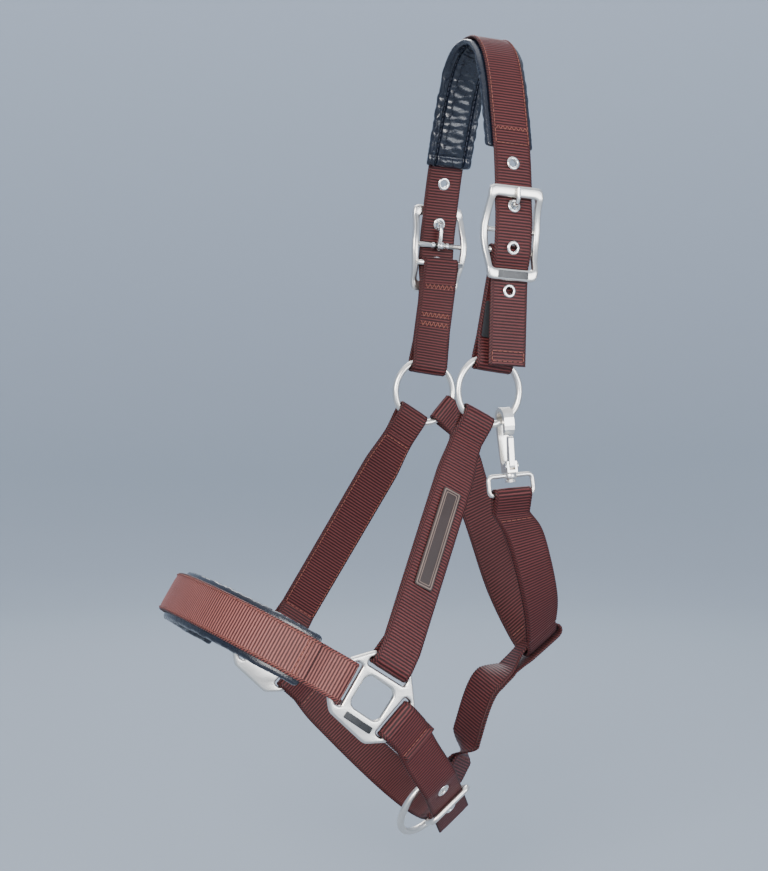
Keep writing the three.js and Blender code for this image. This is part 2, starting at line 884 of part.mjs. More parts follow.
function snapEye() {
  const outer = roundedRect(16, 7.2, 2, 0);
  const inner = roundedRect(13.4, 4.3, 1, 0);
  const centre = snapPoint((EYE_TOP + EYE_FOOT) / 2, 0);
  const loop = placed(extruded(outer, 2.8, [inner]), centre, snapSide, snapOut);
  const boss = cylinder(snapPoint(EYE_TOP, 0), snapDown, 4, 3, 12);
  const bore = cylinder(snapPoint(EYE_TOP, 0), snapDown, 2.3, 8, 12);
  return loop.add(boss).subtract(bore);
}

// Hook profile: x down the snap from the crook centre, y outwards.
function snapHook() {
  const shape = (list) => list.map(([x, y]) => new THREE.Vector2(x, y));
  const crook = hull([...circlePoints(-1, 0, 6.6, 16), ...circlePoints(4, 0, 6.6, 16)]);
  const inside = hull([...circlePoints(-1.4, 0, 3.85, 14), ...circlePoints(24, -0.6, 3, 14)]);
  const spine = shape([[2, -6.6], [32.1, -4.6], [32.1, 4.4], [25, 4.4], [12, -2], [2, -2]]);
  const place = (points, depth) => placed(extruded(points, depth), snapCrook, snapDown, snapSide);
  const side = snapSide.clone().cross(snapDown).normalize().dot(snapOut);
  const flip = (points) => points.map((p) => new THREE.Vector2(p.x, p.y * side));
  const solid = place(flip(crook), 6.6).add(place(flip(spine), 6.6));
  const mouth = block(snapPoint(17.45, 5), snapDown, snapSide, [15.9, 8.4, 10]);
  const slot = block(snapPoint(25.1, 3.6), snapDown, snapSide, [11, 7.6, 3.9]);
  const stem = cylinder(snapPoint(34.4, 0), snapDown, 1.9, 7.2);
  const head = cylinder(snapPoint(37.1, 0), snapDown, 3.2, 1.6);
  const cut = solid.subtract(place(flip(inside), 12)).subtract(mouth).subtract(slot);
  return joined([cut, stem, head]).subtract(gateBore());
}

function gateBore() {
  return cylinder(snapPoint(28, 2.6), snapSide, 1.3, 12);
}

function snapGate() {
  const lever = hull([
    ...circlePoints(28, 2.6, 2.2, 12),
    ...circlePoints(11.6, 4.9, 1.6, 12),
  ]);
  const side = snapSide.clone().cross(snapDown).normalize().dot(snapOut);
  const flipped = lever.map((p) => new THREE.Vector2(p.x, p.y * side));
  const body = placed(extruded(flipped, 3.2), snapCrook, snapDown, snapSide);
  return body.subtract(gateBore());
}

function gateRivet() {
  const shank = cylinder(snapPoint(28, 2.6), snapSide, 1, 7.4);
  const caps = [-3.95, 3.95].map((k) => cylinder(
    along(snapPoint(28, 2.6), snapSide, k),
    snapSide,
    1.9,
    0.6,
  ));
  return joined([shank, ...caps]);
}

// Assembly -------------------------------------------------------------

const NYLON = { color: 0x6b3a3c, roughness: 0.75, metalness: 0 };
const NYLON_NOSE = { color: 0x8a5048, roughness: 0.7, metalness: 0 };
const LINING = { color: 0x232838, roughness: 0.4, metalness: 0 };
const NICKEL = { color: 0xc9c4b8, roughness: 0.35, metalness: 0.9 };
const BRIGHT = { color: 0xdcdad4, roughness: 0.2, metalness: 1 };
const BLACK = { color: 0x1a1a1c, roughness: 0.7, metalness: 0 };
const RUBBER = { color: 0x3a2a26, roughness: 0.6, metalness: 0 };

function build() {
  const group = new THREE.Group();
  group.name = 'headcollar';
  const put = (name, solid, look) => {
    const mesh = new THREE.Mesh(toGeometry(solid), new THREE.MeshStandardMaterial(look));
    mesh.name = name;
    group.add(mesh);
  };
  const pair = (name, solid, look) => {
    put(`near_${name}`, solid, look);
    put(`far_${name}`, solid.mirror([0, 1, 0]), look);
  };
  addCrown(put, pair);
  addCheeks(put, pair);
  addNoseAndChin(put, pair);
  addThroat(put);
  return group;
}

function addCrown(put, pair) {
  const list = crownStations();
  const seats = EYELET_DROPS.slice(0, 3).map((drop) => crownAt(list, drop));
  let strap = ribbon(list, WEB_THICK);
  seats.forEach((s) => {
    const hole = eyeletHole(s.p, s.n);
    strap = strap.subtract(hole).subtract(hole.mirror([0, 1, 0]));
  });
  put('crown_strap', strap, NYLON);
  put('crown_pad', ribbon(padStations(list), PAD_THICK, PAD_WIDTH), LINING);
  seats.forEach((s, i) => pair(`crown_eyelet_${i + 1}`, eyelet(s.p, s.n), BRIGHT));
  const seat = tailEyelet();
  const tail = ribbon(tailStations(), WEB_THICK).subtract(eyeletHole(seat.p, seat.n));
  pair('crown_tail', tail, NYLON);
  pair('tail_eyelet', eyelet(seat.p, seat.n), BRIGHT);
  pair('hook_patch', hookPatch(), BLACK);
  pair('crown_buckle', buckleFrame(), NICKEL);
  pair('buckle_inlay', buckleInlay(), BLACK);
  pair('tongue_pin', tonguePin(), BRIGHT);
  pair('crown_tongue', crownTongue(), BRIGHT);
}

function addCheeks(put, pair) {
  pair('carrier_strap', carrierStrap(), NYLON);
  pair('loop_patch', loopPatch(), BLACK);
  pair('upper_ring', torus(ringCentre, v3(0, 1, 0), UPPER_RING.radius, UPPER_RING.wire), NICKEL);
  put('near_cheek_strap', cheekStrap(NEAR_CHEEK_RING_ANGLE), NYLON);
  put('far_cheek_strap', cheekStrap(FAR_CHEEK_RING_ANGLE).mirror([0, 1, 0]), NYLON);
  put('cheek_patch', cheekPatch(), RUBBER);
}

function addNoseAndChin(put, pair) {
  pair('nose_fitting', noseFitting(), NICKEL);
  pair('fitting_inlay', fittingInlay(), BLACK);
  put('noseband_base', nosebandBase(), NYLON_NOSE);
  put('noseband_overlay', nosebandOverlay(), NYLON_NOSE);
  put('noseband_pad', nosebandPad(), LINING);
  put('near_chin_strap', nearChinStrap(), NYLON);
  chinEyelets().forEach((p, i) => put(`chin_eyelet_${i + 1}`, eyelet(p, billetN), BRIGHT));
  put('far_chin_strap', farChinStrap(), NYLON);
  put('chin_buckle', chinBuckle(), NICKEL);
  put('chin_tongue', chinTongue(), BRIGHT);
  put('chin_ring', torus(chinRingCentre, chinRingAxis, CHIN_RING.radius, CHIN_RING.wire), NICKEL);
  put('back_strap', backStrap(), NYLON);
}

function addThroat(put) {
  put('throat_strap', throatStrap(), NYLON);
  put('throat_branch', throatBranch(), NYLON);
  put('snap_eye', snapEye(), NICKEL);
  put('snap_hook', snapHook(), NICKEL);
  put('snap_gate', snapGate(), NICKEL);
  put('gate_rivet', gateRivet(), BRIGHT);
}

export default build();
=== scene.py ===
"""Looks of the webbing headcollar, in the CAD frame. Shapes are worked out in millimetres."""
import json
import math

import bmesh
import bpy
import numpy as np
from mathutils import Matrix, Vector

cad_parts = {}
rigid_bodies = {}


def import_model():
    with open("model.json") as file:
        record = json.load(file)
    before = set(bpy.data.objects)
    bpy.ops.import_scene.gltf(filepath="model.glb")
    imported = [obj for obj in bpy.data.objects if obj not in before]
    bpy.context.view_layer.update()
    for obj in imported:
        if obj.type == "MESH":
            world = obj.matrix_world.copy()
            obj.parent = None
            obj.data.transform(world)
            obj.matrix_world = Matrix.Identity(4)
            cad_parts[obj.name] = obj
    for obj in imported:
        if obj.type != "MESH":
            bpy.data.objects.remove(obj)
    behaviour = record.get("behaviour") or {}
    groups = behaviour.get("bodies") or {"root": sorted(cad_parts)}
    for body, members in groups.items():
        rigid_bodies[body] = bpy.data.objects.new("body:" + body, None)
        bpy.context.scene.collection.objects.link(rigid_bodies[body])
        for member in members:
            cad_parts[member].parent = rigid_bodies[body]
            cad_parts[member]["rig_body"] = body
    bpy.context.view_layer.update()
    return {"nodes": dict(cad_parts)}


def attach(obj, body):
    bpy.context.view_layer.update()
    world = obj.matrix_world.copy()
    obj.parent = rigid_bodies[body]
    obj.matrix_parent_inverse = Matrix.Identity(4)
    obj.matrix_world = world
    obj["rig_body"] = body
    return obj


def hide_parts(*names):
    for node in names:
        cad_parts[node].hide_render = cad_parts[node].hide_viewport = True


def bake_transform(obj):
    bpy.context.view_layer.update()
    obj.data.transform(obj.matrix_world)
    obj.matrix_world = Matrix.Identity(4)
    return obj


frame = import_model()
MM = 0.001

# ---------------------------------------------------------------- dimensions

WEB_WIDTH = 25.0
WEB_THICK = 2.0
FOLD_LIFT = 1.06
RIB_PITCH = 1.86
RIB_STEP = RIB_PITCH / 3
RIB_DEPTH = 0.17
PAD_WIDTH = 31.5
PAD_THICK = 6.0
CROWN_TILT = math.radians(3.2)
BUCKLE_Y = -58.0
BUCKLE_DROP = 120.0
BILLET_LOW_N = -3.4
BILLET_HIGH_N = -0.9
TAIL_SPLIT = 149.2
TAIL_END = 199.6
VISUAL_SPLIT = 144.5
RING = {"radius": 20.4, "wire": 2.1}
RING_CENTRE = np.array([-19.0, -49.0, -214.3])
NEAR_CHEEK_ANGLE = -117.0
FAR_CHEEK_ANGLE = -121.5
CHIN_RING = {"radius": 22.75, "wire": 2.25}
FITTING_CENTRE = np.array([-111.1, -90.0, -387.2])
FITTING_THICK = 4.0
SLOT_CENTRE = 17.1
SLOT_WIDTH = 4.8
SLOT_LENGTH = 26.6
RIM_BAR = 4.4
RIM_CENTRE = SLOT_CENTRE + SLOT_WIDTH / 2 + RIM_BAR / 2
SLOT_ANGLES = {"cheek": 57.0, "nose": 148.0, "chin": -44.0}


def vec(*c):
    return np.array(c, float)


def unit(v):
    return v / np.linalg.norm(v)


def polar(angle):
    a = math.radians(angle)
    return vec(math.cos(a), 0, math.sin(a))


def flip(v):
    return v * vec(1, -1, 1)


def across(d, w):
    return unit(w - np.dot(w, d) * d)


OUT = vec(0, -1, 0)
ANY_SIDE = vec(0.3, 0.5, 0.81)
ANY_RADIUS = vec(0.31, 0.42, 0.85)
CROWN_DOWN = vec(-math.sin(CROWN_TILT), 0, -math.cos(CROWN_TILT))
CROWN_WIDTH = vec(math.cos(CROWN_TILT), 0, -math.sin(CROWN_TILT))


def crown_point(y, drop):
    return vec(0, y, 0) + CROWN_DOWN * drop


def buckle_point(u, n, x=0.0):
    return crown_point(BUCKLE_Y - n, BUCKLE_DROP + u) + CROWN_WIDTH * x


# ---------------------------------------------------------------- curves

def catmull(points, count):
    """Centripetal Catmull-Rom through the points, with straight run-outs."""
    p = [np.asarray(q, float) for q in points]
    p = [2 * p[0] - p[1], *p, 2 * p[-1] - p[-2]]
    spans = len(points) - 1
    out = []
    for t in np.linspace(0, spans, count):
        k = min(int(t), spans - 1)
        u = t - k
        a, b, c, d = p[k:k + 4]
        s0, s1, s2 = (max(np.linalg.norm(e - f), 1e-6) ** 0.5 for e, f in ((a, b), (b, c), (c, d)))
        m1 = ((b - a) / s0 - (c - a) / (s0 + s1) + (c - b) / s1) * s1
        m2 = ((c - b) / s1 - (d - b) / (s1 + s2) + (d - c) / s2) * s1
        out.append(b + m1 * u + (3 * (c - b) - 2 * m1 - m2) * u * u
                   + (2 * (b - c) + m1 + m2) * u ** 3)
    return np.array(out)


def blend_widths(widths, count):
    w = np.array(widths, float)
    t = np.linspace(0, len(widths) - 1, count)
    k = np.minimum(t.astype(int), len(widths) - 2)
    f = (t - k)[:, None]
    mixed = w[k] * (1 - f) + w[k + 1] * f
    return mixed / np.linalg.norm(mixed, axis=1)[:, None]


def arc_length(points, closed=False):
    if closed:
        points = np.vstack([points, points[:1]])
    return np.concatenate([[0], np.cumsum(np.linalg.norm(np.diff(points, axis=0), axis=1))])


def sampled(values, at, where):
    return np.stack([np.interp(where, at, values[:, i]) for i in range(values.shape[1])], 1)


def unit_rows(a):
    return a / np.maximum(np.linalg.norm(a, axis=1), 1e-9)[:, None]


def tangents(points, closed=False):
    if closed:
        return unit_rows(np.roll(points, -1, 0) - np.roll(points, 1, 0))
    return unit_rows(np.gradient(points, axis=0))


def smoothed(values, rounds, closed=False):
    v = values.copy()
    for _ in range(rounds):
        if closed:
            v = (np.roll(v, 1, 0) + 2 * v + np.roll(v, -1, 0)) / 4
        else:
            v[1:-1] = (v[:-2] + 2 * v[1:-1] + v[2:]) / 4
    return v


# ---------------------------------------------------------------- meshes

SHARP_EDGE = 50.0


def linked_object(name, data):
    obj = bpy.data.objects.new(name, data)
    bpy.context.scene.collection.objects.link(obj)
    return obj


def smooth_shaded(mesh):
    mesh.polygons.foreach_set("use_smooth", [True] * len(mesh.polygons))


def make_object(name, verts_mm, faces, material, body=None, strap=None):
    """Smooth mesh from points in millimetres; strap is the (w, s, half) of each point."""
    mesh = bpy.data.meshes.new(name)
    mesh.from_pydata((np.asarray(verts_mm, float) * MM).tolist(), [], faces)
    if strap is not None:
        layer = mesh.attributes.new("strap", "FLOAT_VECTOR", "POINT")
        layer.data.foreach_set("vector", np.asarray(strap, np.float32).ravel())
    bm = bmesh.new()
    bm.from_mesh(mesh)
    loose = [v for v in bm.verts if not v.link_faces]
    bmesh.ops.delete(bm, geom=loose, context="VERTS")
    bmesh.ops.recalc_face_normals(bm, faces=bm.faces)
    bm.to_mesh(mesh)
    bm.free()
    smooth_shaded(mesh)
    mesh.materials.append(material)
    obj = linked_object(name, mesh)
    if body:
        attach(obj, body)
    return obj


def mirrored_object(obj, name, body):
    """The far side's copy of a near side piece."""
    mesh = obj.data.copy()
    mesh.transform(Matrix.Scale(-1, 4, (0, 1, 0)))
    mesh.flip_normals()
    twin = linked_object(name, mesh)
    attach(twin, body)
    return twin


def ring_numbers(verts):
    return np.arange(verts.shape[0] * verts.shape[1]).reshape(verts.shape[:2])


def skin_rings(rings, closed_path=False):
    """Faces of a tube: rings is (n, m) vertex numbers, and an open tube has end caps."""
    n, m = rings.shape
    faces = []
    for i in range(n if closed_path else n - 1):
        a, b = rings[i], rings[(i + 1) % n]
        for j in range(m):
            k = (j + 1) % m
            faces.append((a[j], a[k], b[k], b[j]))
    if not closed_path:
        faces.append(tuple(rings[0][::-1]))
        faces.append(tuple(rings[-1]))
    return faces


def ring_mesh(name, verts, closed, material, body=None):
    """A tube from its rings of points, an array of (ring, point, coordinate)."""
    verts = np.asarray(verts, float)
    faces = skin_rings(ring_numbers(verts), closed)
    return make_object(name, verts.reshape(-1, 3), faces, material, body)


def tube(name, points, radius, material, body, sides=16, closed=False, count=None):
    """A rod along smooth points; radius is one number or several spread along it."""
    pts = np.array(points, float) if closed else catmull(points, count or len(points) * 8)
    n = len(pts)
    radii = np.interp(np.linspace(0, 1, n), np.linspace(0, 1, np.size(radius)),
                      np.atleast_1d(radius))
    tan = tangents(pts, closed)
    side = across(tan[0], ANY_SIDE)
    a = np.linspace(0, 2 * math.pi, sides, endpoint=False)
    verts = []
    for i in range(n):
        side = across(tan[i], side)
        other = np.cross(tan[i], side)
        verts.append(pts[i] + radii[i] * (np.cos(a)[:, None] * side + np.sin(a)[:, None] * other))
    if not closed:
        verts = rounded_ends(verts, pts, tan, radii)
    return ring_mesh(name, verts, closed, material, body)


def rounded_ends(verts, pts, tan, radii):
    """Adds shrinking rings past each end of a rod."""
    def cap(i, sign):
        out = []
        for k in (0.5, 0.85, 0.98):
            shrink = math.sqrt(1 - k * k)
            out.append(pts[i] + (verts[i] - pts[i]) * shrink + sign * tan[i] * radii[i] * k * 0.6)
        return out
    return [*cap(0, -1)[::-1], *verts, *cap(-1, 1)]


def lathe(name, profile, centre, axis, material, body, sides=36):
    """Turns a closed outline of (radius, height) about an axis through the centre."""
    axis = unit(axis)
    a_dir = across(axis, ANY_RADIUS)
    b_dir = np.cross(axis, a_dir)
    profile = np.array(profile, float)
    verts = []
    for a in np.linspace(0, 2 * math.pi, sides, endpoint=False):
        radial = math.cos(a) * a_dir + math.sin(a) * b_dir
        verts.append(centre + profile[:, :1] * radial + profile[:, 1:] * axis)
    return ring_mesh(name, verts, True, material, body)


def torus(name, centre, axis, radius, wire, material, body):
    a = np.linspace(0, 2 * math.pi, 20, endpoint=False)
    profile = np.stack([radius + wire * np.cos(a), wire * np.sin(a)], 1)
    return lathe(name, profile, centre, axis, material, body, 96)


def plate(name, outline, holes, thick, bevel, origin, x_dir, z_dir, material, body, steps=3):
    """A rounded plate from flat outlines; local z is the thickness."""
    curve = bpy.data.curves.new(name, "CURVE")
    curve.dimensions = "2D"
    curve.fill_mode = "BOTH"
    curve.extrude = thick / 2 - bevel
    curve.bevel_depth = bevel
    curve.bevel_resolution = steps
    curve.offset = -bevel
    for loop in [outline, *holes]:
        spline = curve.splines.new("POLY")
        spline.points.add(len(loop) - 1)
        for point, (x, y) in zip(spline.points, loop):
            point.co = (x, y, 0, 1)
        spline.use_cyclic_u = True
    temp = linked_object(name, curve)
    shaped = temp.evaluated_get(bpy.context.evaluated_depsgraph_get()).to_mesh()
    local = np.array([v.co for v in shaped.vertices], float)
    faces = [tuple(p.vertices) for p in shaped.polygons]
    temp.to_mesh_clear()
    bpy.data.objects.remove(temp)
    y_dir = np.cross(z_dir, x_dir)
    verts = origin + local[:, :1] * x_dir + local[:, 1:2] * y_dir + local[:, 2:] * z_dir
    obj = make_object(name, verts, faces, material, body)
    bm = bmesh.new()
    bm.from_mesh(obj.data)
    bmesh.ops.remove_doubles(bm, verts=bm.verts, dist=1e-6)
    bmesh.ops.recalc_face_normals(bm, faces=bm.faces)
    bm.to_mesh(obj.data)
    bm.free()
    smooth_shaded(obj.data)
    obj.data.set_sharp_from_angle(angle=math.radians(SHARP_EDGE))
    return obj


def circle(x, y, r, n=32):
    a = np.linspace(0, 2 * math.pi, n, endpoint=False)
    return np.stack([x + r * np.cos(a), y + r * np.sin(a)], 1)


def hull(points):
    pts = sorted(map(tuple, np.round(points, 6)))

    def half(seq):
        out = []
        for p in seq:
            while len(out) > 1 and ((out[-1][0] - out[-2][0]) * (p[1] - out[-2][1])
                                    - (out[-1][1] - out[-2][1]) * (p[0] - out[-2][0])) <= 1e-9:
                out.pop()
            out.append(p)
        return out[:-1]
    return np.array(half(pts) + half(pts[::-1]))


def round_rect(hx, hy, r, angle=0.0, x=0.0, y=0.0):
    corners = np.vstack([circle(i * (hx - r), j * (hy - r), r) for i in (-1, 1) for j in (-1, 1)])
    loop = hull(corners)
    a = math.radians(angle)
    turn = np.array([[math.cos(a), math.sin(a)], [-math.sin(a), math.cos(a)]])
    return loop @ turn + vec(x, y)


def resampled_loop(points, count, rounds=2):
    pts = np.array(points, float)
    s = arc_length(pts, True)
    closed = np.vstack([pts, pts[:1]])
    loop = sampled(closed, s, np.linspace(0, s[-1], count, endpoint=False))
    return smoothed(loop, rounds, True)


# ---------------------------------------------------------------- materials

class Shading:
    """A procedural material: textures and sums that feed one Principled shader."""

    def __init__(self, name):
        self.material = bpy.data.materials.new(name)
        self.material.use_nodes = True
        self.nodes = self.material.node_tree.nodes
        self.links = self.material.node_tree.links
        self.shader = self.nodes["Principled BSDF"]
        self.coords = self.nodes.new("ShaderNodeTexCoord").outputs["Object"]

    def feed(self, value, socket):
        """Links an output to the socket, or sets the socket to a number or colour."""
        if hasattr(value, "links"):
            self.links.new(value, socket)
        else:
            socket.default_value = value

    def texture(self, kind, output, **settings):
        made = self.nodes.new(kind)
        self.links.new(self.coords, made.inputs["Vector"])
        for key, value in settings.items():
            made.inputs[key].default_value = value
        return made.outputs[output]

    def noise(self, **settings):
        return self.texture("ShaderNodeTexNoise", "Fac", **settings)

    def split(self, value):
        made = self.nodes.new("ShaderNodeSeparateXYZ")
        self.links.new(value, made.inputs[0])
        return made.outputs

    def maths(self, operation, a, b=None):
        """One math node on outputs or numbers."""
        made = self.nodes.new("ShaderNodeMath")
        made.operation = operation
        self.feed(a, made.inputs[0])
        if b is not None:
            self.feed(b, made.inputs[1])
        return made.outputs[0]

    def scaled(self, value, factor, offset=0.0):
        return self.maths("ADD", self.maths("MULTIPLY", value, factor), offset)

    def wave(self, turns, operation="SINE", swing=0.5):
        """A wave between 0 and 1, from a count of whole turns."""
        angle = self.maths("MULTIPLY", turns, 2 * math.pi)
        return self.scaled(self.maths(operation, angle), swing, 0.5)

    def clamped(self, value):
        return self.maths("MINIMUM", self.maths("MAXIMUM", value, 0.0), 1.0)

    def mix(self, factor, a, b, blend="MIX"):
        made = self.nodes.new("ShaderNodeMix")
        made.data_type = "RGBA"
        made.blend_type = blend
        sockets = {s.name: s for s in made.inputs if s.type == "RGBA"}
        self.feed(factor, made.inputs[0])
        for key, value in (("A", a), ("B", b)):
            self.feed(value if hasattr(value, "links") else (*value, 1), sockets[key])
        return [s for s in made.outputs if s.type == "RGBA"][0]

    def bump(self, height, strength, distance):
        made = self.nodes.new("ShaderNodeBump")
        made.inputs["Strength"].default_value = strength
        made.inputs["Distance"].default_value = distance
        self.links.new(height, made.inputs["Height"])
        self.links.new(made.outputs[0], self.shader.inputs["Normal"])

    def finish(self, colour, rough):
        self.feed(colour, self.shader.inputs["Base Color"])
        self.feed(rough, self.shader.inputs["Roughness"])
        return self.material


def tinted(base, factor):
    return [min(1.0, c * factor) for c in base]


WARP_PITCH = 0.62
SELVEDGE_WIDTH = 2.1


def webbing_material(name, dark, mid, light):
    """Ribbed nylon with painted shade in the rib valleys and a painted highlight on the rib tops: s
    runs along the strap and w across it, both in millimetres.
    """
    made = Shading(name)
    strap = made.nodes.new("ShaderNodeAttribute")
    strap.attribute_name = "strap"
    w, s, half = made.split(strap.outputs["Vector"])
    wobble = made.noise(Scale=420.0, Detail=2.0)
    cloud = made.noise(Scale=28.0, Detail=4.0, Roughness=0.6)
    fuzz = made.noise(Scale=2600.0, Detail=2.0)
    phase = made.maths("ADD", made.scaled(s, 1 / RIB_PITCH), made.scaled(wobble, 0.16))
    rib = made.wave(phase, "COSINE", -0.5)
    # Fine warp threads slant a little from rib to rib.
    slant = made.maths("ADD", made.scaled(w, 1 / WARP_PITCH), made.scaled(phase, 0.5))
    thread = made.wave(slant)
    braid = made.wave(made.maths("ADD", phase, made.scaled(w, 0.45)))
    from_edge = made.maths("SUBTRACT", half, made.maths("ABSOLUTE", w))
    edge = made.maths("LESS_THAN", from_edge, SELVEDGE_WIDTH)
    # Painted highlight on the rib tops and thread crests, lifted towards the light colour.
    painted_highlight = made.maths("MULTIPLY", made.maths("POWER", rib, 3.0), thread)
    # Painted shade: the dark colour fills the rib valleys, and the middle colour lies on the rib
    # tops.
    body = made.mix(made.scaled(painted_highlight, 0.55), made.mix(rib, dark, mid), light)
    selvedge = made.mix(braid, tinted(dark, 0.45), mid)
    tone = made.nodes.new("ShaderNodeCombineColor")
    for channel in range(3):
        made.links.new(made.scaled(cloud, 0.5, 0.75), tone.inputs[channel])
    colour = made.mix(1.0, made.mix(edge, body, selvedge), tone.outputs[0], "MULTIPLY")
    weave = made.maths("ADD", made.scaled(rib, 0.6), made.scaled(thread, 0.22))
    made.bump(made.maths("ADD", weave, made.scaled(fuzz, 0.3)), 0.55, 0.00022)
    made.shader.inputs["Sheen Weight"].default_value = 0.04
    made.shader.inputs["Sheen Roughness"].default_value = 0.4
    made.shader.inputs["Specular IOR Level"].default_value = 0.22
    return made.finish(colour, made.scaled(fuzz, 0.3, 0.36))


def lining_material():
    """Glossy coated lining with a fine grain and creases."""
    made = Shading("lining")
    grain = made.texture("ShaderNodeTexVoronoi", "Distance", Scale=1500.0)
    crease = made.noise(Scale=260.0, Detail=5.0, Roughness=0.65)
    cloud = made.noise(Scale=60.0, Detail=3.0)
    colour = made.mix(cloud, (0.0020, 0.0032, 0.0070), (0.0080, 0.0115, 0.0235))
    made.bump(made.maths("ADD", made.scaled(grain, 0.25), crease), 0.5, 0.0005)
    made.shader.inputs["Coat Weight"].default_value = 0.25
    made.shader.inputs["Coat Roughness"].default_value = 0.2
    return made.finish(colour, made.scaled(crease, 0.30, 0.10))


def metal_material(name, base, rough_low, rough_high, grain_scale):
    """Cast and tumbled nickel: cloudy tone, soft pits and a painted highlight on the edges."""
    made = Shading(name)
    cloud = made.noise(Scale=90.0, Detail=5.0, Roughness=0.6)
    pits = made.noise(Scale=grain_scale, Detail=3.0)
    edge = made.nodes.new("ShaderNodeNewGeometry").outputs["Pointiness"]
    # Painted highlight: edges, found by pointiness, are lightened towards a brighter nickel.
    painted_edge_highlight = made.clamped(made.maths("MULTIPLY", made.maths("SUBTRACT", edge, 0.5), 5.0))
    dull = made.mix(cloud, tinted(base, 0.86), base)
    made.bump(pits, 0.08, 0.0002)
    made.shader.inputs["Metallic"].default_value = 1.0
    return made.finish(made.mix(painted_edge_highlight, dull, tinted(base, 1.12)),
                       made.scaled(cloud, rough_high - rough_low, rough_low))


def thread_material(name, base):
    made = Shading(name)
    twist = made.noise(Scale=1800.0, Detail=2.0)
    tone = made.noise(Scale=120.0, Detail=1.0)
    made.bump(twist, 0.5, 0.00015)
    return made.finish(made.mix(tone, tinted(base, 0.6), tinted(base, 1.3)), 0.5)


def dull_material(name, base, scale, strength, rough):
    """Rubber, enamel and touch tape: one grain for roughness and bump, and a cloudy tone."""
    made = Shading(name)
    grain = made.noise(Scale=scale, Detail=4.0, Roughness=0.7)
    cloud = made.noise(Scale=70.0, Detail=2.0)
    made.bump(grain, strength, 0.0003)
    return made.finish(made.mix(cloud, tinted(base, 0.7), tinted(base, 1.3)),
                       made.scaled(grain, 0.25, rough - 0.12))


def paper_material(low, high, rise_from, rise):
    """Studio paper with painted light and shade: one colour at the floor, another where the wall is
    fully up.
    """
    made = Shading("studio_paper")
    height = made.split(made.coords)[2]
    climb = made.maths("DIVIDE", made.maths("SUBTRACT", height, rise_from), rise)
    made.shader.inputs["Specular IOR Level"].default_value = 0.1
    return made.finish(made.mix(made.maths("MINIMUM", climb, 1.0), low, high), 0.9)


# Webbing colours: painted shade in the rib valleys, the middle colour, and a painted highlight.
WEB = webbing_material("webbing", (0.010, 0.0022, 0.0024), (0.075, 0.0138, 0.0136),
                       (0.220, 0.064, 0.062))
# The nose copy is the same webbing painted lighter all over: painted light on the noseband, which
# faces the light.
WEB_NOSE_PAINTED_LIGHT = webbing_material("webbing_nose", (0.030, 0.0080, 0.0070), (0.195, 0.054, 0.045),
                            (0.560, 0.245, 0.205))
LINING = lining_material()
NICKEL = metal_material("satin_nickel", (0.80, 0.765, 0.71), 0.26, 0.38, 1400.0)
BRIGHT = metal_material("bright_nickel", (0.86, 0.84, 0.80), 0.16, 0.28, 900.0)
THREAD = thread_material("thread", (0.20, 0.060, 0.038))
DARK_THREAD = thread_material("lining_thread", (0.05, 0.055, 0.08))
TAPE = dull_material("touch_tape", (0.012, 0.012, 0.014), 1600.0, 1.0, 0.9)
ENAMEL = dull_material("enamel", (0.012, 0.012, 0.013), 500.0, 0.1, 0.3)
RUBBER = dull_material("label_rubber", (0.026, 0.015, 0.013), 1100.0, 0.35, 0.62)
RUBBER_EDGE = dull_material("label_border", (0.150, 0.105, 0.085), 1100.0, 0.35, 0.6)


# ---------------------------------------------------------------- webbing

COLUMNS = np.array([-12.2, -11.4, -10.3, -7.0, -3.0, -1.0, 1.0, 3.0, 7.0, 10.3, 11.4, 12.2])
PROFILE = np.array([0.62, 0.98, 0.80, 1.0, 1.0, 1.0, 1.0, 1.0, 1.0, 0.80, 0.98, 0.62])
EDGE = WEB_WIDTH / 2
VALLEY_INSET = 0.16
HOLE_REACH = 3.0
HOLE_RADIUS = 3.05
HOLE_COLUMNS = range(4, 8)


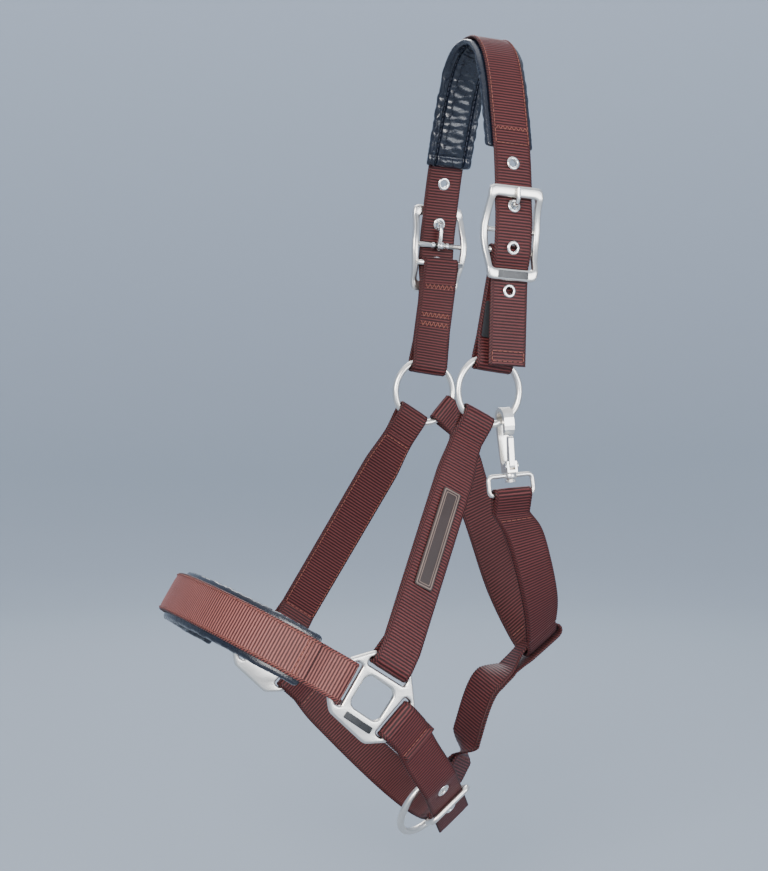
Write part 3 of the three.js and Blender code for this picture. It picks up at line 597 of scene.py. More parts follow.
class Strap:
    """A length of webbing along a centre line: rings of points every third of a rib."""

    def __init__(self, points, widths, closed=False, scale=None, start=0.0):
        points = np.array(points, float)
        widths = np.array(widths, float)
        scale = np.ones(len(points)) if scale is None else np.array(scale, float)
        s = arc_length(points, closed)
        if closed:
            points = np.vstack([points, points[:1]])
            widths = np.vstack([widths, widths[:1]])
            scale = np.append(scale, scale[0])
        rings = max(6, int(round(s[-1] / RIB_STEP / 3)) * 3)
        where = np.linspace(0, s[-1], rings, endpoint=not closed)
        self.s = where
        self.closed = closed
        self.start = start
        self.pitch = (s[-1] / rings if closed else s[-1] / (rings - 1)) * 3
        self.p = sampled(points, s, where)
        self.w = unit_rows(sampled(widths, s, where))
        self.scale = np.interp(where, s, scale)
        self.n = unit_rows(np.cross(self.w, tangents(self.p, closed)))

    def at(self, s, w, lift=0.0, side=1):
        """Place and normal on the upper (side 1) or lower face."""
        p, across_dir, n = (vec(*(np.interp(s, self.s, a[:, i]) for i in range(3)))
                            for a in (self.p, self.w, self.n))
        k = np.interp(s, self.s, self.scale)
        return p + across_dir * w * k + n * side * (WEB_THICK / 2 + lift), n * side

    def nearest(self, point):
        return self.s[np.argmin(np.linalg.norm(self.p - point, axis=1))]

    def ring(self, i):
        """Points round the section at ring i."""
        valley = i % 3 == 0
        inset = VALLEY_INSET if valley else 0.0
        heights = PROFILE * WEB_THICK / 2 - (RIB_DEPTH if valley else 0.0)
        cols = np.sign(COLUMNS) * (np.abs(COLUMNS) - inset) * self.scale[i]
        edge = (EDGE - inset) * self.scale[i]
        tip = 0.80 if not self.closed and i in (0, len(self.p) - 1) else 1.0
        ring_w = np.concatenate([[-edge], cols, [edge], cols[::-1]])
        ring_h = np.concatenate([[0], heights * tip, [0], -heights[::-1] * tip])
        return self.p[i] + ring_w[:, None] * self.w[i] + ring_h[:, None] * self.n[i]

    def build(self, name, material, body, holes=(), slot=None):
        """The webbing's mesh; slot is (place along, reach each way)."""
        n = len(self.p)
        verts = np.array([self.ring(i) for i in range(n)])
        faces = skin_rings(ring_numbers(verts), self.closed)
        around = np.concatenate([[-EDGE], COLUMNS, [EDGE], COLUMNS[::-1]])
        along = (self.s + self.start) * RIB_PITCH / self.pitch
        strap = np.empty(verts.shape)
        strap[:, :, 0] = around
        strap[:, :, 1] = along[:, None]
        strap[:, :, 2] = EDGE
        cuts = [(h, HOLE_REACH, True) for h in holes]
        if slot:
            cuts.append((*slot, False))
        for where, reach, is_round in cuts:
            faces = self.pierce(faces, verts, where, reach, is_round)
        return make_object(name, verts.reshape(-1, 3), faces, material, body,
                           strap=strap.reshape(-1, 3))

    def pierce(self, faces, verts, where, reach, is_round):
        """Cuts a hole through both faces between the middle columns and lines its wall."""
        rings = ring_numbers(verts)
        rows = [i for i in range(len(self.s)) if abs(self.s[i] - where) <= reach]
        first, last = rows[0], rows[-1]
        top = [1 + c for c in HOLE_COLUMNS]
        low = [2 * len(COLUMNS) + 1 - c for c in HOLE_COLUMNS]
        loop = [(first, c) for c in range(4)] + [(r, 3) for r in range(first + 1, last)]
        loop += [(last, c) for c in range(3, -1, -1)]
        loop += [(r, 0) for r in range(last - 1, first, -1)]
        inside, under = ({int(rings[r][k]) for r in range(first, last + 1) for k in face}
                         for face in (top, low))
        faces = [f for f in faces if not (set(f) <= inside or set(f) <= under)]
        for r, c in loop:
            ds, dw = self.s[r] - where, COLUMNS[HOLE_COLUMNS[c]]
            if is_round:
                size = math.hypot(ds, dw)
                ds, dw = ds * HOLE_RADIUS / size, dw * HOLE_RADIUS / size
            centre, _ = self.at(where + ds, dw, -WEB_THICK / 2)
            for k, sign in ((top[c], 1), (low[c], -1)):
                verts[r, k] = centre + self.n[r] * sign * WEB_THICK * 0.48
        for (r0, c0), (r1, c1) in zip(loop, loop[1:] + loop[:1]):
            faces.append((int(rings[r0][top[c0]]), int(rings[r1][top[c1]]),
                          int(rings[r1][low[c1]]), int(rings[r0][low[c0]])))
        return faces


LOOP_REACH = 12.0
LOOP_CLEARANCE = 0.12


def loop_path(loop, enter, leave, count=44):
    """Centre line round a bar, from y = -enter to y = +leave; x runs into the strap."""
    radius = loop["hole"] + WEB_THICK / 2 + LOOP_CLEARANCE
    near, far = loop.get("stretch", (0.0, 0.0))[::-1]
    reach = loop.get("reach", LOOP_REACH)
    y_dir = np.cross(loop["w"], loop["dir"])

    def tangent(offset):
        dx = reach - near
        return math.atan2(offset, dx) + math.acos(min(0.98, radius / math.hypot(dx, offset)))

    def arc(x, start, stop, steps):
        return [(x + radius * math.cos(a), radius * math.sin(a))
                for a in np.linspace(start, stop, steps)]
    a0, a1 = tangent(enter), tangent(leave)
    pts = [(reach, -enter)]
    if near - far > 0.1:
        pts += arc(near, -a0, -math.pi / 2, 8)
        pts += arc(far, -math.pi / 2, -1.5 * math.pi, count)
        pts += arc(near, math.pi / 2, a1, 8)
    else:
        pts += arc(near, -a0, a1 - 2 * math.pi, count)
    pts += [(reach, leave)]
    pts = np.array(pts)
    s = arc_length(pts)
    pts = sampled(pts, s, np.linspace(0, s[-1], count * 3))
    pts = smoothed(pts, 12)
    return loop["bar"] + pts[:, :1] * loop["dir"] + pts[:, 1:] * y_dir


def gather(points, bar, width, start=14.0, ease=26.0):
    """Width factor: narrowed near a bar that squeezes the webbing, full past start + ease."""
    narrow = width / WEB_WIDTH
    d = np.linalg.norm(points - bar, axis=1)
    f = np.clip((d - start) / ease, 0, 1)
    return narrow + (1 - narrow) * f * f * (3 - 2 * f)


def run_stations(points, widths, count=120):
    p = catmull(points, count)
    s = arc_length(p)
    even = np.linspace(0, s[-1], count)
    w = blend_widths(widths, count)
    p = sampled(p, s, even)
    w = unit_rows(sampled(w, s, even))
    return p, w, unit_rows(np.cross(w, tangents(p)))


def aligned(w, like):
    return -w if np.dot(w, like) < 0 else w


def belt(head, foot, middle=(), mid_widths=()):
    """Closed doubled strap between two loops. Returns points, widths and the run's length."""
    head, foot = dict(head), dict(foot)
    foot["w"] = aligned(foot["w"], head["w"])
    start = head["bar"] + head["dir"] * head.get("reach", LOOP_REACH)
    end = foot["bar"] + foot["dir"] * foot.get("reach", LOOP_REACH)
    p, w, n = run_stations([start, *middle, end], [head["w"], *mid_widths, foot["w"]])
    head_loop = loop_path(head, FOLD_LIFT, FOLD_LIFT)
    foot_loop = loop_path(foot, FOLD_LIFT, FOLD_LIFT)
    inner = slice(2, -2)
    pts = np.vstack([(p + n * FOLD_LIFT)[inner], foot_loop, (p - n * FOLD_LIFT)[inner][::-1],
                     head_loop])
    wid = np.vstack([w[inner], np.tile(foot["w"], (len(foot_loop), 1)), w[inner][::-1],
                     np.tile(head["w"], (len(head_loop), 1))])
    return pts, wid, arc_length(p)[-1]


# ---------------------------------------------------------------- stitches

STITCH = 2.5
STITCH_GAP = 0.7
STITCH_BOW = 0.22
THREAD_RADIUS = 0.27
ZIGZAG_PITCH = 1.5
ZIGZAG_RADIUS = 0.24
ROW_HALF = 10.4
EDGE_ROW = 10.9
THREAD_SIDES = 6
# One stitch: (place along, height over the cloth, thickness), dipping into the webbing at its ends.
STITCH_SHAPE = [(0.0, -0.55, 0.55), (0.08, 0.15, 0.9), (0.3, 0.8, 1.0), (0.5, 1.0, 1.0),
                (0.7, 0.8, 1.0), (0.92, 0.15, 0.9), (1.0, -0.55, 0.55)]


class Stitches:
    """Gathers bowed threads into one mesh."""

    def __init__(self):
        self.verts, self.faces = [], []

    def one(self, a, b, radius=THREAD_RADIUS):
        """A stitch between two places, each a (point, normal) pair."""
        (start, start_n), (stop, stop_n) = a, b
        t = unit(stop - start)
        base = len(self.verts)
        for f, rise, size in STITCH_SHAPE:
            n = unit(start_n * (1 - f) + stop_n * f)
            side = np.cross(n, t)
            centre = start + (stop - start) * f + n * (STITCH_BOW * rise)
            for q in np.linspace(0, 2 * math.pi, THREAD_SIDES, endpoint=False):
                self.verts.append(centre + radius * size * (math.cos(q) * side
                                                            + 0.8 * math.sin(q) * n))
        rings = np.arange(len(STITCH_SHAPE) * THREAD_SIDES).reshape(-1, THREAD_SIDES) + base
        self.faces += skin_rings(rings)

    def row(self, strap, a, b, side=1):
        """Stitches from (s, w) to (s, w) on one face of a strap."""
        a, b = vec(*a), vec(*b)
        step = STITCH + STITCH_GAP
        count = max(1, int(round(np.linalg.norm(b - a) / step)))
        for i in range(count):
            first = i * step + STITCH_GAP / 2
            ends = [a + (b - a) * f / (count * step) for f in (first, first + STITCH)]
            self.one(*(strap.at(s, w, 0, side) for s, w in ends))

    def across(self, strap, s, half=ROW_HALF, side=1):
        self.row(strap, (s, -half), (s, half), side)

    def zigzag(self, strap, s, half, rise=2.2):
        for i, w in enumerate(np.arange(-half, half, ZIGZAG_PITCH)):
            up = rise / 2 if i % 2 else -rise / 2
            self.one(strap.at(s + up, w), strap.at(s - up, w + ZIGZAG_PITCH), ZIGZAG_RADIUS)

    def box(self, strap, s0, s1, half, side=1):
        for s in (s0, s1):
            self.across(strap, s, half, side)
        for w in (-half, half):
            self.row(strap, (s0, w), (s1, w), side)

    def build(self, name, material, body):
        return make_object(name, self.verts, self.faces, material, body)


# ---------------------------------------------------------------- pads

PAD_PANEL = 9.6
PAD_SEAM = PAD_PANEL + 0.2
PAD_SWELL = 0.9
PAD_STEP = 1.25
PAD_END_SEAM = 7.5
CLOTH_SCALE = 20.0
CLOTH_FRAMES = 14


def pad_section():
    """Places across the pad: (w, height above the flat back), and which of them are sewn down."""
    half = PAD_WIDTH / 2
    inner = []
    for w in np.linspace(-half + 1.2, half - 1.2, 44):
        a = abs(w)
        if a < PAD_PANEL:
            h = 4.9 - 0.7 * (a / PAD_PANEL) ** 4
        else:
            roll = (a - 12.5) / 2.9
            h = 3.1 + 1.9 * math.sqrt(max(0.0, 1 - roll * roll))
        groove = 2.0 * math.exp(-((a - PAD_SEAM) / 0.55) ** 2)
        inner.append((w, h - groove))
    side = [(half - 0.15, 3.6), (half, 2.6), (half - 0.1, 1.5), (half - 0.6, 0.5)]
    back = [(w, 0.12) for w in np.linspace(half - 2, -half + 2, 10)]
    loop = inner + side + back + [(-w, h) for w, h in side[::-1]]
    sewn = [i for i, (w, h) in enumerate(loop)
            if h < 1.0 or (i < len(inner) and abs(abs(w) - PAD_SEAM) < 0.7)]
    return loop, sewn


CREASE_DEPTH = 0.26


def crinkle(s, w):
    """Creases across the panel of a bent, stuffed lining."""
    wave = (math.sin(1.27 * s + 0.9 * math.sin(0.31 * w + 0.4 * s))
            + 0.7 * math.sin(0.71 * s - 0.45 * w) + 0.5 * math.sin(2.3 * s + 0.8 * w))
    return CREASE_DEPTH * wave * max(0.0, 1 - (w / PAD_PANEL) ** 4)


def inflate(obj, pinned, cap):
    """Blows the stuffed piece up as cloth, sewn at the pinned points, then applies the result."""
    work = linked_object("cloth_work", obj.data.copy())
    work.data.transform(Matrix.Scale(CLOTH_SCALE, 4))
    group = work.vertex_groups.new(name="sewn")
    group.add(pinned, 1.0, "REPLACE")
    cloth = work.modifiers.new("cloth", "CLOTH")
    settings = cloth.settings
    settings.quality = 5
    settings.mass = 0.3
    settings.use_pressure = True
    settings.uniform_pressure_force = 4.0
    settings.tension_stiffness = 12.0
    settings.compression_stiffness = 12.0
    settings.bending_stiffness = 0.2
    settings.shrink_min = -0.05
    settings.vertex_group_mass = group.name
    settings.effector_weights.gravity = 0.0
    cloth.collision_settings.use_collision = False
    cloth.point_cache.frame_start = 1
    cloth.point_cache.frame_end = CLOTH_FRAMES
    scene = bpy.context.scene
    for step in range(1, CLOTH_FRAMES + 1):
        scene.frame_set(step)
    done = work.evaluated_get(bpy.context.evaluated_depsgraph_get())
    moved = np.array([v.co for v in done.data.vertices], float) / CLOTH_SCALE
    rest = np.array([v.co for v in obj.data.vertices], float)
    change = moved - rest
    size = np.maximum(np.linalg.norm(change, axis=1), 1e-9)
    change *= (np.minimum(size, cap * MM) / size)[:, None]
    change[~np.isfinite(change).all(axis=1)] = 0
    obj.data.vertices.foreach_set("co", (rest + change).astype(np.float32).ravel())
    bpy.data.objects.remove(work)
    scene.frame_set(1)


def pad_shape(where, p, w, n):
    """Rings of the stuffed shape, and the numbers of the points that are sewn down."""
    section, sewn = pad_section()
    verts, pinned = [], []
    for i, s in enumerate(where):
        from_end = min(s, where[-1] - s)
        tall = 0.34 + 0.66 * math.sqrt(1 - max(0.0, 1 - from_end / 5.0) ** 2)
        seam = 1.0 - 0.28 * math.exp(-((from_end - PAD_END_SEAM) / 0.8) ** 2)
        tuck = 1.0 - 0.06 * max(0.0, 1 - from_end / 3.0) ** 2
        ring = []
        for a, h in section:
            crease = crinkle(s, a) if h > 3.5 and from_end > 9 else 0.0
            ring.append(p[i] + w[i] * a * tuck + n[i] * (h * tall * seam + crease))
        verts.append(ring)
        held = from_end == 0 or abs(from_end - PAD_END_SEAM) < 0.9
        pinned += [i * len(section) + k for k in (range(len(section)) if held else sewn)]
    return verts, pinned


def pad_seams(name, where, p, w, n, body):
    seams = Stitches()

    def spot(s, along):
        c, d, e = (vec(*(np.interp(s, where, x[:, j]) for j in range(3))) for x in (p, w, n))
        return c + d * along + e * 3.0, e

    for along in (-PAD_SEAM, PAD_SEAM):
        for s in np.arange(9.0, where[-1] - 9.0, 3.4):
            seams.one(spot(s, along), spot(s + STITCH, along), 0.26)
    finish_piece(seams.build(name, DARK_THREAD, body), "lining")


def make_pad(name, path, widths, node_name, body):
    """path is the middle of the pad's flat back; the pad lies on the inner side of it."""
    s = arc_length(path)
    where = np.linspace(0, s[-1], int(s[-1] / PAD_STEP))
    p = sampled(path, s, where)
    w = unit_rows(sampled(widths, s, where))
    n = -unit_rows(np.cross(w, tangents(p)))
    verts, pinned = pad_shape(where, p, w, n)
    obj = ring_mesh(name, verts, False, LINING)
    inflate(obj, pinned, PAD_SWELL)
    fine = obj.modifiers.new("fine", "SUBSURF")
    fine.levels = fine.render_levels = 1
    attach(obj, body)
    finish_piece(obj, "lining", node_name)
    pad_seams(name + "_sewing", where, p, w, n, body)


# ---------------------------------------------------------------- helpers for the parts

def finish_piece(obj, slot, *nodes):
    """Hides the CAD nodes that the piece stands for; the slot is not used."""
    if nodes:
        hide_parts(*nodes)


def both(obj, slot, *nodes):
    """Finishes a near piece and adds its mirror image on the far side."""
    finish_piece(obj, slot, *nodes)
    near_names = [obj.name, obj["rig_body"], *nodes]
    name, body, *far_nodes = [n.replace("near_", "far_") for n in near_names]
    finish_piece(mirrored_object(obj, name, body), slot, *far_nodes)


EYELET_FACE = WEB_THICK / 2 + 0.02
EYELET_PROFILE = [(2.3, 0.0), (2.3, EYELET_FACE), (2.55, EYELET_FACE + 0.42),
                  (3.0, EYELET_FACE + 0.6), (3.6, EYELET_FACE + 0.5), (4.15, EYELET_FACE + 0.12),
                  (4.2, EYELET_FACE - 0.05), (2.8, EYELET_FACE - 0.2), (2.8, 0.2 - EYELET_FACE),
                  (4.2, 0.05 - EYELET_FACE), (4.15, -EYELET_FACE - 0.12),
                  (3.6, -EYELET_FACE - 0.45), (3.0, -EYELET_FACE - 0.5),
                  (2.55, -EYELET_FACE - 0.4), (2.3, -EYELET_FACE)]


def set_eyelet(strap, s, node_name, body):
    """The eyelet in the strap's hole at s."""
    centre, normal = strap.at(s, 0, -WEB_THICK / 2)
    ring = lathe(node_name + "_ring", EYELET_PROFILE, centre, normal, BRIGHT, body)
    finish_piece(ring, "bright_nickel", node_name)


# ---------------------------------------------------------------- crown

LOW_Y = BUCKLE_Y - BILLET_LOW_N
HIGH_Y = BUCKLE_Y - BILLET_HIGH_N
CROWN_HALF = [(-13.5, -4.6), (-25.5, 5.5), (-34.5, 22), (-42, 44), (-48.9, 67), (-52.6, 84),
              (LOW_Y, 96), (LOW_Y, 99), (-56.4, 108), (HIGH_Y, 116), (HIGH_Y, 132), (LOW_Y, 141),
              (LOW_Y, VISUAL_SPLIT)]
STRAP_ABOVE_PAD = 4.4
CROWN_TOP_DROP = -STRAP_ABOVE_PAD - PAD_THICK / 2
CROWN_PAD_END = 67.0
EYELET_DROPS = [77.4, 103.2, 128.6, 154.2]


def crown_line():
    near = [crown_point(y, drop) for y, drop in CROWN_HALF]
    far = [flip(p) for p in near]
    return catmull([*near[::-1], crown_point(0, CROWN_TOP_DROP), *far], 900)


def make_crown():
    line = crown_line()
    widths = np.tile(CROWN_WIDTH, (len(line), 1))
    strap = Strap(line, widths)
    drops = strap.p @ CROWN_DOWN
    half = len(drops) // 2

    def where(drop, far=False):
        side = slice(half, None) if far else slice(0, half)
        return strap.s[side][np.argmin(np.abs(drops[side] - drop))]

    holes = {f"{side}_crown_eyelet_{i + 1}": where(EYELET_DROPS[i], side == "far")
             for i in range(3) for side in ("near", "far")}
    web = strap.build("crown_webbing", WEB, "crown", holes.values())
    finish_piece(web, "webbing", "crown_strap")
    for node_name, s in holes.items():
        set_eyelet(strap, s, node_name, "crown")
    threads = Stitches()
    end = CROWN_PAD_END - 2
    near_end, far_end = where(end), where(end, True)
    for w in (-EDGE_ROW, EDGE_ROW):
        threads.row(strap, (near_end, w), (far_end, w))
    for s, to_top in ((near_end, 1), (far_end, -1)):
        threads.zigzag(strap, s + 10.0 * to_top, 10.2)
        threads.across(strap, s, 10.6)
    finish_piece(threads.build("crown_stitching", THREAD, "crown"), "webbing")
    inside = np.abs(line @ CROWN_DOWN) < CROWN_PAD_END
    inward = unit_rows(np.cross(widths, tangents(line)))
    back = (line - inward * (STRAP_ABOVE_PAD - PAD_THICK / 2))[inside]
    make_pad("crown_lining", back, widths[inside], "crown_pad", "crown")


TAIL_TOP = crown_point(LOW_Y, TAIL_SPLIT + 0.15)
TAIL_FOOT = crown_point(LOW_Y - 3, TAIL_END)
TAPE_THICK = 0.6
TAPE_BEVEL = 0.22


def make_tail(side):
    """The loose end below a crown buckle: it bends where it leaves the buckle's end bar."""
    points = [crown_point(LOW_Y, VISUAL_SPLIT + 0.05), crown_point(LOW_Y, 147), TAIL_TOP,
              TAIL_TOP * 0.5 + TAIL_FOOT * 0.5, TAIL_FOOT]
    line = catmull(points, 120)
    turn = vec(1, -1 if side == "far" else 1, 1)
    strap = Strap(line * turn, np.tile(CROWN_WIDTH * turn[1], (len(line), 1)), start=40.0)
    outer = -1 if np.dot(strap.n[5], OUT * turn) < 0 else 1
    share = (EYELET_DROPS[3] - TAIL_SPLIT) / (TAIL_END - TAIL_SPLIT)
    seat = (TAIL_TOP + (TAIL_FOOT - TAIL_TOP) * share) * turn
    hole = strap.nearest(seat)
    body = f"{side}_tail"
    web = strap.build(f"{side}_tail_webbing", WEB, None, [hole])
    finish_piece(web, "webbing", f"{side}_crown_tail")
    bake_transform(web)
    set_eyelet(strap, hole, f"{side}_tail_eyelet", body)
    threads = Stitches()
    last = strap.s[-1]
    threads.box(strap, last - 8.5, last - 2.5, 10.4, outer)
    threads.box(strap, last - 39, last - 8.5, 9.2, -outer)
    finish_piece(threads.build(f"{side}_tail_stitching", THREAD, body), "webbing")
    middle = strap.nearest((TAIL_TOP * 0.44 + TAIL_FOOT * 0.56) * turn)
    at, inward = strap.at(middle, 0, 0.45, -outer)
    patch = plate(f"{side}_hook_tape", round_rect(10, 17, 1.5), [], TAPE_THICK, TAPE_BEVEL, at,
                  CROWN_WIDTH, inward, TAPE, body)
    finish_piece(patch, "touch_tape", f"{side}_hook_patch")


# ---------------------------------------------------------------- crown buckles

FRAME_OUTER = [(14.5, -28.5), (17.2, -27.4), (18, -24.5), (18.2, -18), (18.8, -11), (19.7, -4),
               (19.6, 3), (18.6, 10), (17.4, 17), (16.8, 24), (15.6, 27.5), (13, 28.5)]
FRAME_INNER = [(12.6, -21.5), (13.8, -20.4), (14.2, -14), (15, -7), (15.3, 0), (14.8, 7),
               (13.9, 14), (13.6, 20.4), (12.4, 21.5)]
FRAME_THICK = 4.0
FRAME_DISH = 5.5
DISH_REACH = 21.5
FRAME_SQUARENESS = 0.62
INLAY_THICK = 0.4
INLAY_BEVEL = 0.12
PIN = (-2.0, -5.4)
STRAP_BAR = (10.0, -7.0)
BAR_RADIUS = 1.6


def frame_loop(half, angles):
    """Points of a mirrored outline at the given angles about its middle."""
    pts = resampled_loop([*half, *[(-x, u) for x, u in half[::-1]]], 480, 6)
    at = np.arctan2(pts[:, 1], pts[:, 0])
    order = np.argsort(at)
    return np.stack([np.interp(angles, at[order], pts[order, i], period=2 * math.pi)
                     for i in (0, 1)], 1)


def buckle_frame(name):
    """A cast frame of squarish section, whose sides bow inward between the end bars."""
    angles = np.linspace(-math.pi, math.pi, 160, endpoint=False)
    outer, inner = frame_loop(FRAME_OUTER, angles), frame_loop(FRAME_INNER, angles)
    section = np.linspace(0, 2 * math.pi, 20, endpoint=False)
    sx, sy = (np.sign(c) * np.abs(c) ** FRAME_SQUARENESS for c in (np.cos(section), np.sin(section)))
    x_dir = unit(np.cross(CROWN_DOWN, OUT))
    verts = []
    for o, i in zip(outer, inner):
        ring = (o + i) / 2 + sx[:, None] * (o - i) / 2
        u = ring[:, 1]
        drop = np.where(np.abs(u) < DISH_REACH, FRAME_DISH * (1 - (u / DISH_REACH) ** 2), 0)
        n = sy * FRAME_THICK / 2 - drop
        verts.append(buckle_point(0, 0) + ring[:, :1] * x_dir + u[:, None] * CROWN_DOWN
                     + n[:, None] * OUT)
    return ring_mesh(name, verts, True, NICKEL, "crown")


def turned(name, profile, centre, axis, material, body):
    """A solid turned about an axis from (radius, place) pairs, closed on the axis."""
    r = [(0.01, profile[0][1]), *profile, (0.01, profile[-1][1])]
    return lathe(name, r, centre, axis, material, body, 28)


def tongue_pin(name):
    half, collar, c = 15.0, BAR_RADIUS + 0.7, 1.0
    profile = [(BAR_RADIUS, -half)]
    for k in (-5, 5):
        profile += [(BAR_RADIUS, k - c), (collar - 0.2, k - c), (collar, k - c + 0.25),
                    (collar, k + c - 0.25), (collar - 0.2, k + c), (BAR_RADIUS, k + c)]
    profile.append((BAR_RADIUS, half))
    return turned(name, profile, buckle_point(*PIN), CROWN_WIDTH, BRIGHT, "crown")


def knuckle(centre, axis, width, outer):
    bore, r = BAR_RADIUS + 0.25, 0.4
    h = width / 2
    profile = [(bore, -h + 0.1), (bore + 0.2, -h), (outer - r, -h), (outer, -h + r),
               (outer, h - r), (outer - r, h), (bore + 0.2, h), (bore, h - 0.1)]
    return lathe("knuckle", profile, centre, axis, BRIGHT, None, 32)


def joined(name, parts, body):
    """One object from several closed shells."""
    bm = bmesh.new()
    for part in parts:
        bm.from_mesh(part.data)
    mesh = bpy.data.meshes.new(name)
    bm.to_mesh(mesh)
    bm.free()
    mesh.materials.append(parts[0].data.materials[0])
    smooth_shaded(mesh)
    obj = linked_object(name, mesh)
    for part in parts:
        bpy.data.objects.remove(part)
    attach(obj, body)
    return obj


TONGUE_ROD = [(-4.4, -6), (-9, -6.8), (-13, -6.8), (-16, -5.4), (-17, -2.6), (-17.4, 0.2),
              (-18.6, 2.6), (-21.2, 3.6), (-24, 3.75), (-27, 3.75)]


def crown_tongue(name):
    rod = tube("rod", [buckle_point(u, n) for u, n in TONGUE_ROD], [1.45, 1.4, 1.35, 1.3, 1.15],
               BRIGHT, None, 18)
    return joined(name, [knuckle(buckle_point(*PIN), CROWN_WIDTH, 4, 3.1), rod], "near_tongue")


def make_buckles():
    both(buckle_frame("near_buckle_frame"), "nickel", "near_crown_buckle")
    bar = turned("near_strap_bar", [(BAR_RADIUS, -16.2), (BAR_RADIUS, -5.4), (1.5, 0),
                                    (BAR_RADIUS, 5.4), (BAR_RADIUS, 16.2)],
                 buckle_point(*STRAP_BAR), CROWN_WIDTH, NICKEL, "crown")
    both(bar, "nickel")
    both(tongue_pin("near_pin"), "bright_nickel", "near_tongue_pin")
    both(crown_tongue("near_tongue_rod"), "bright_nickel", "near_crown_tongue")
    inlay = plate("near_buckle_plate", round_rect(10, 2.2, 0.7), [], INLAY_THICK, INLAY_BEVEL,
                  buckle_point(25, 2.1), CROWN_WIDTH, OUT, ENAMEL, "crown")
    both(inlay, "inlay", "near_buckle_inlay")


# ---------------------------------------------------------------- upper rings and carriers

def ring_sag(radius, width):
    """How far a ring's wire curves away across a strap of that width."""
    return radius - math.sqrt(radius * radius - width * width / 4)


def ring_loop(direction, width=WEB_WIDTH):
    """A strap's loop round the near upper ring."""
    return {"bar": RING_CENTRE + direction * RING["radius"], "dir": direction,
            "w": unit(np.cross(vec(0, 1, 0), direction)), "hole": RING["wire"] + 0.4,
            "stretch": (-ring_sag(RING["radius"], width), 0.0)}


STRAP_BAR_AT = buckle_point(*STRAP_BAR)
CARRIER_DIR = unit((STRAP_BAR_AT - RING_CENTRE) * vec(1, 0, 1))


def make_carriers():
    top = {"bar": STRAP_BAR_AT, "dir": CROWN_DOWN, "w": CROWN_WIDTH, "hole": BAR_RADIUS + 0.2}
    foot = ring_loop(CARRIER_DIR)
    pts, widths, run = belt(top, foot)
    strap = Strap(pts, widths, closed=True)
    web = strap.build("near_carrier_webbing", WEB, "crown")
    both(web, "webbing", "near_carrier_strap")
    face = 1 if np.dot(strap.n[10], OUT) > 0 else -1
    threads = Stitches()
    first = strap.nearest(top["bar"] + top["dir"] * 16 + OUT * face * FOLD_LIFT)
    for s in (first, first + run - 22, first + run - 16):
        threads.zigzag(strap, s, 9.6, 3.2)
    both(threads.build("near_carrier_stitching", THREAD, "crown"), "webbing")
    run_dir = unit(foot["bar"] - STRAP_BAR_AT)
    x = across(run_dir, CROWN_WIDTH)
    out = np.cross(run_dir, x)
    out = out if out[1] < 0 else -out
    at = STRAP_BAR_AT + (foot["bar"] - STRAP_BAR_AT) * 0.66 + out * (2.2 + 0.4)
    patch = plate("near_loop_tape", round_rect(11, 11, 1.5), [], TAPE_THICK, TAPE_BEVEL, at, x,
                  out, TAPE, "crown")
    both(patch, "touch_tape", "near_loop_patch")
    ring = torus("near_ring_wire", RING_CENTRE, vec(0, 1, 0), RING["radius"], RING["wire"],
                 NICKEL, "near_ring")
    both(ring, "nickel", "near_upper_ring")


# ---------------------------------------------------------------- nose fittings

FITTING_OPENING = 10.3
FITTING_BEVEL = 1.5


def rim_bar(d, half, radius):
    """Round ends of the bar beyond a slot; d points from the middle of the fitting to the slot."""
    return np.vstack([circle(RIM_CENTRE * d[0] - k * (half - radius) * d[2],
                             RIM_CENTRE * d[2] + k * (half - radius) * d[0], radius, 20)
                      for k in (-1, 1)])


def make_fittings():
    bars, holes = [], []
    for angle in SLOT_ANGLES.values():
        d = polar(angle)
        bars.append(rim_bar(d, 14, RIM_BAR / 2))
        holes.append(round_rect(SLOT_WIDTH / 2, SLOT_LENGTH / 2, 1.6, angle, SLOT_CENTRE * d[0],
                                SLOT_CENTRE * d[2])[::-1])
    bars += [circle(-20.5, -3.5, 5.5), circle(-3, -20, 5.5)]
    holes.append(round_rect(FITTING_OPENING, FITTING_OPENING, 4.5, 55)[::-1])
    outline = resampled_loop(hull(np.vstack(bars)), 260, 3)
    body = plate("near_fitting_casting", outline, holes, FITTING_THICK, FITTING_BEVEL,
                 FITTING_CENTRE, vec(1, 0, 0), OUT, NICKEL, "lower", 6)
    both(body, "nickel", "near_nose_fitting")
    at = FITTING_CENTRE + polar(235) * 15.8 + OUT * (FITTING_THICK / 2 + 0.12)
    inlay = plate("near_fitting_plate", round_rect(9.5, 2.1, 0.7), [], INLAY_THICK, INLAY_BEVEL,
                  at, polar(325), OUT, ENAMEL, "lower")
    both(inlay, "inlay", "near_fitting_inlay")


def rim_loop(angle):
    """A strap's loop round the rim bar of a nose fitting."""
    direction = polar(angle)
    return {"bar": FITTING_CENTRE + direction * RIM_CENTRE, "dir": direction,
            "w": unit(np.cross(vec(0, 1, 0), direction)), "hole": 2.45, "stretch": (-0.9, 0.9)}


# ---------------------------------------------------------------- cheeks

CHEEK_RING_WIDTH = 21.0


def cheek_belt(angle):
    head = ring_loop(polar(angle), CHEEK_RING_WIDTH)
    head["w"] = -head["w"]
    pts, widths, run = belt(head, rim_loop(SLOT_ANGLES["cheek"]))
    return head, Strap(pts, widths, True, gather(pts, head["bar"], CHEEK_RING_WIDTH)), run


def cheek_threads(name, strap, run):
    threads = Stitches()
    first, last = 3.0, run - 3.0
    for s in (first, last):
        threads.across(strap, s)
    for w in (-EDGE_ROW, EDGE_ROW):
        threads.row(strap, (first, w), (last, w))
    return threads.build(name, THREAD, "lower")


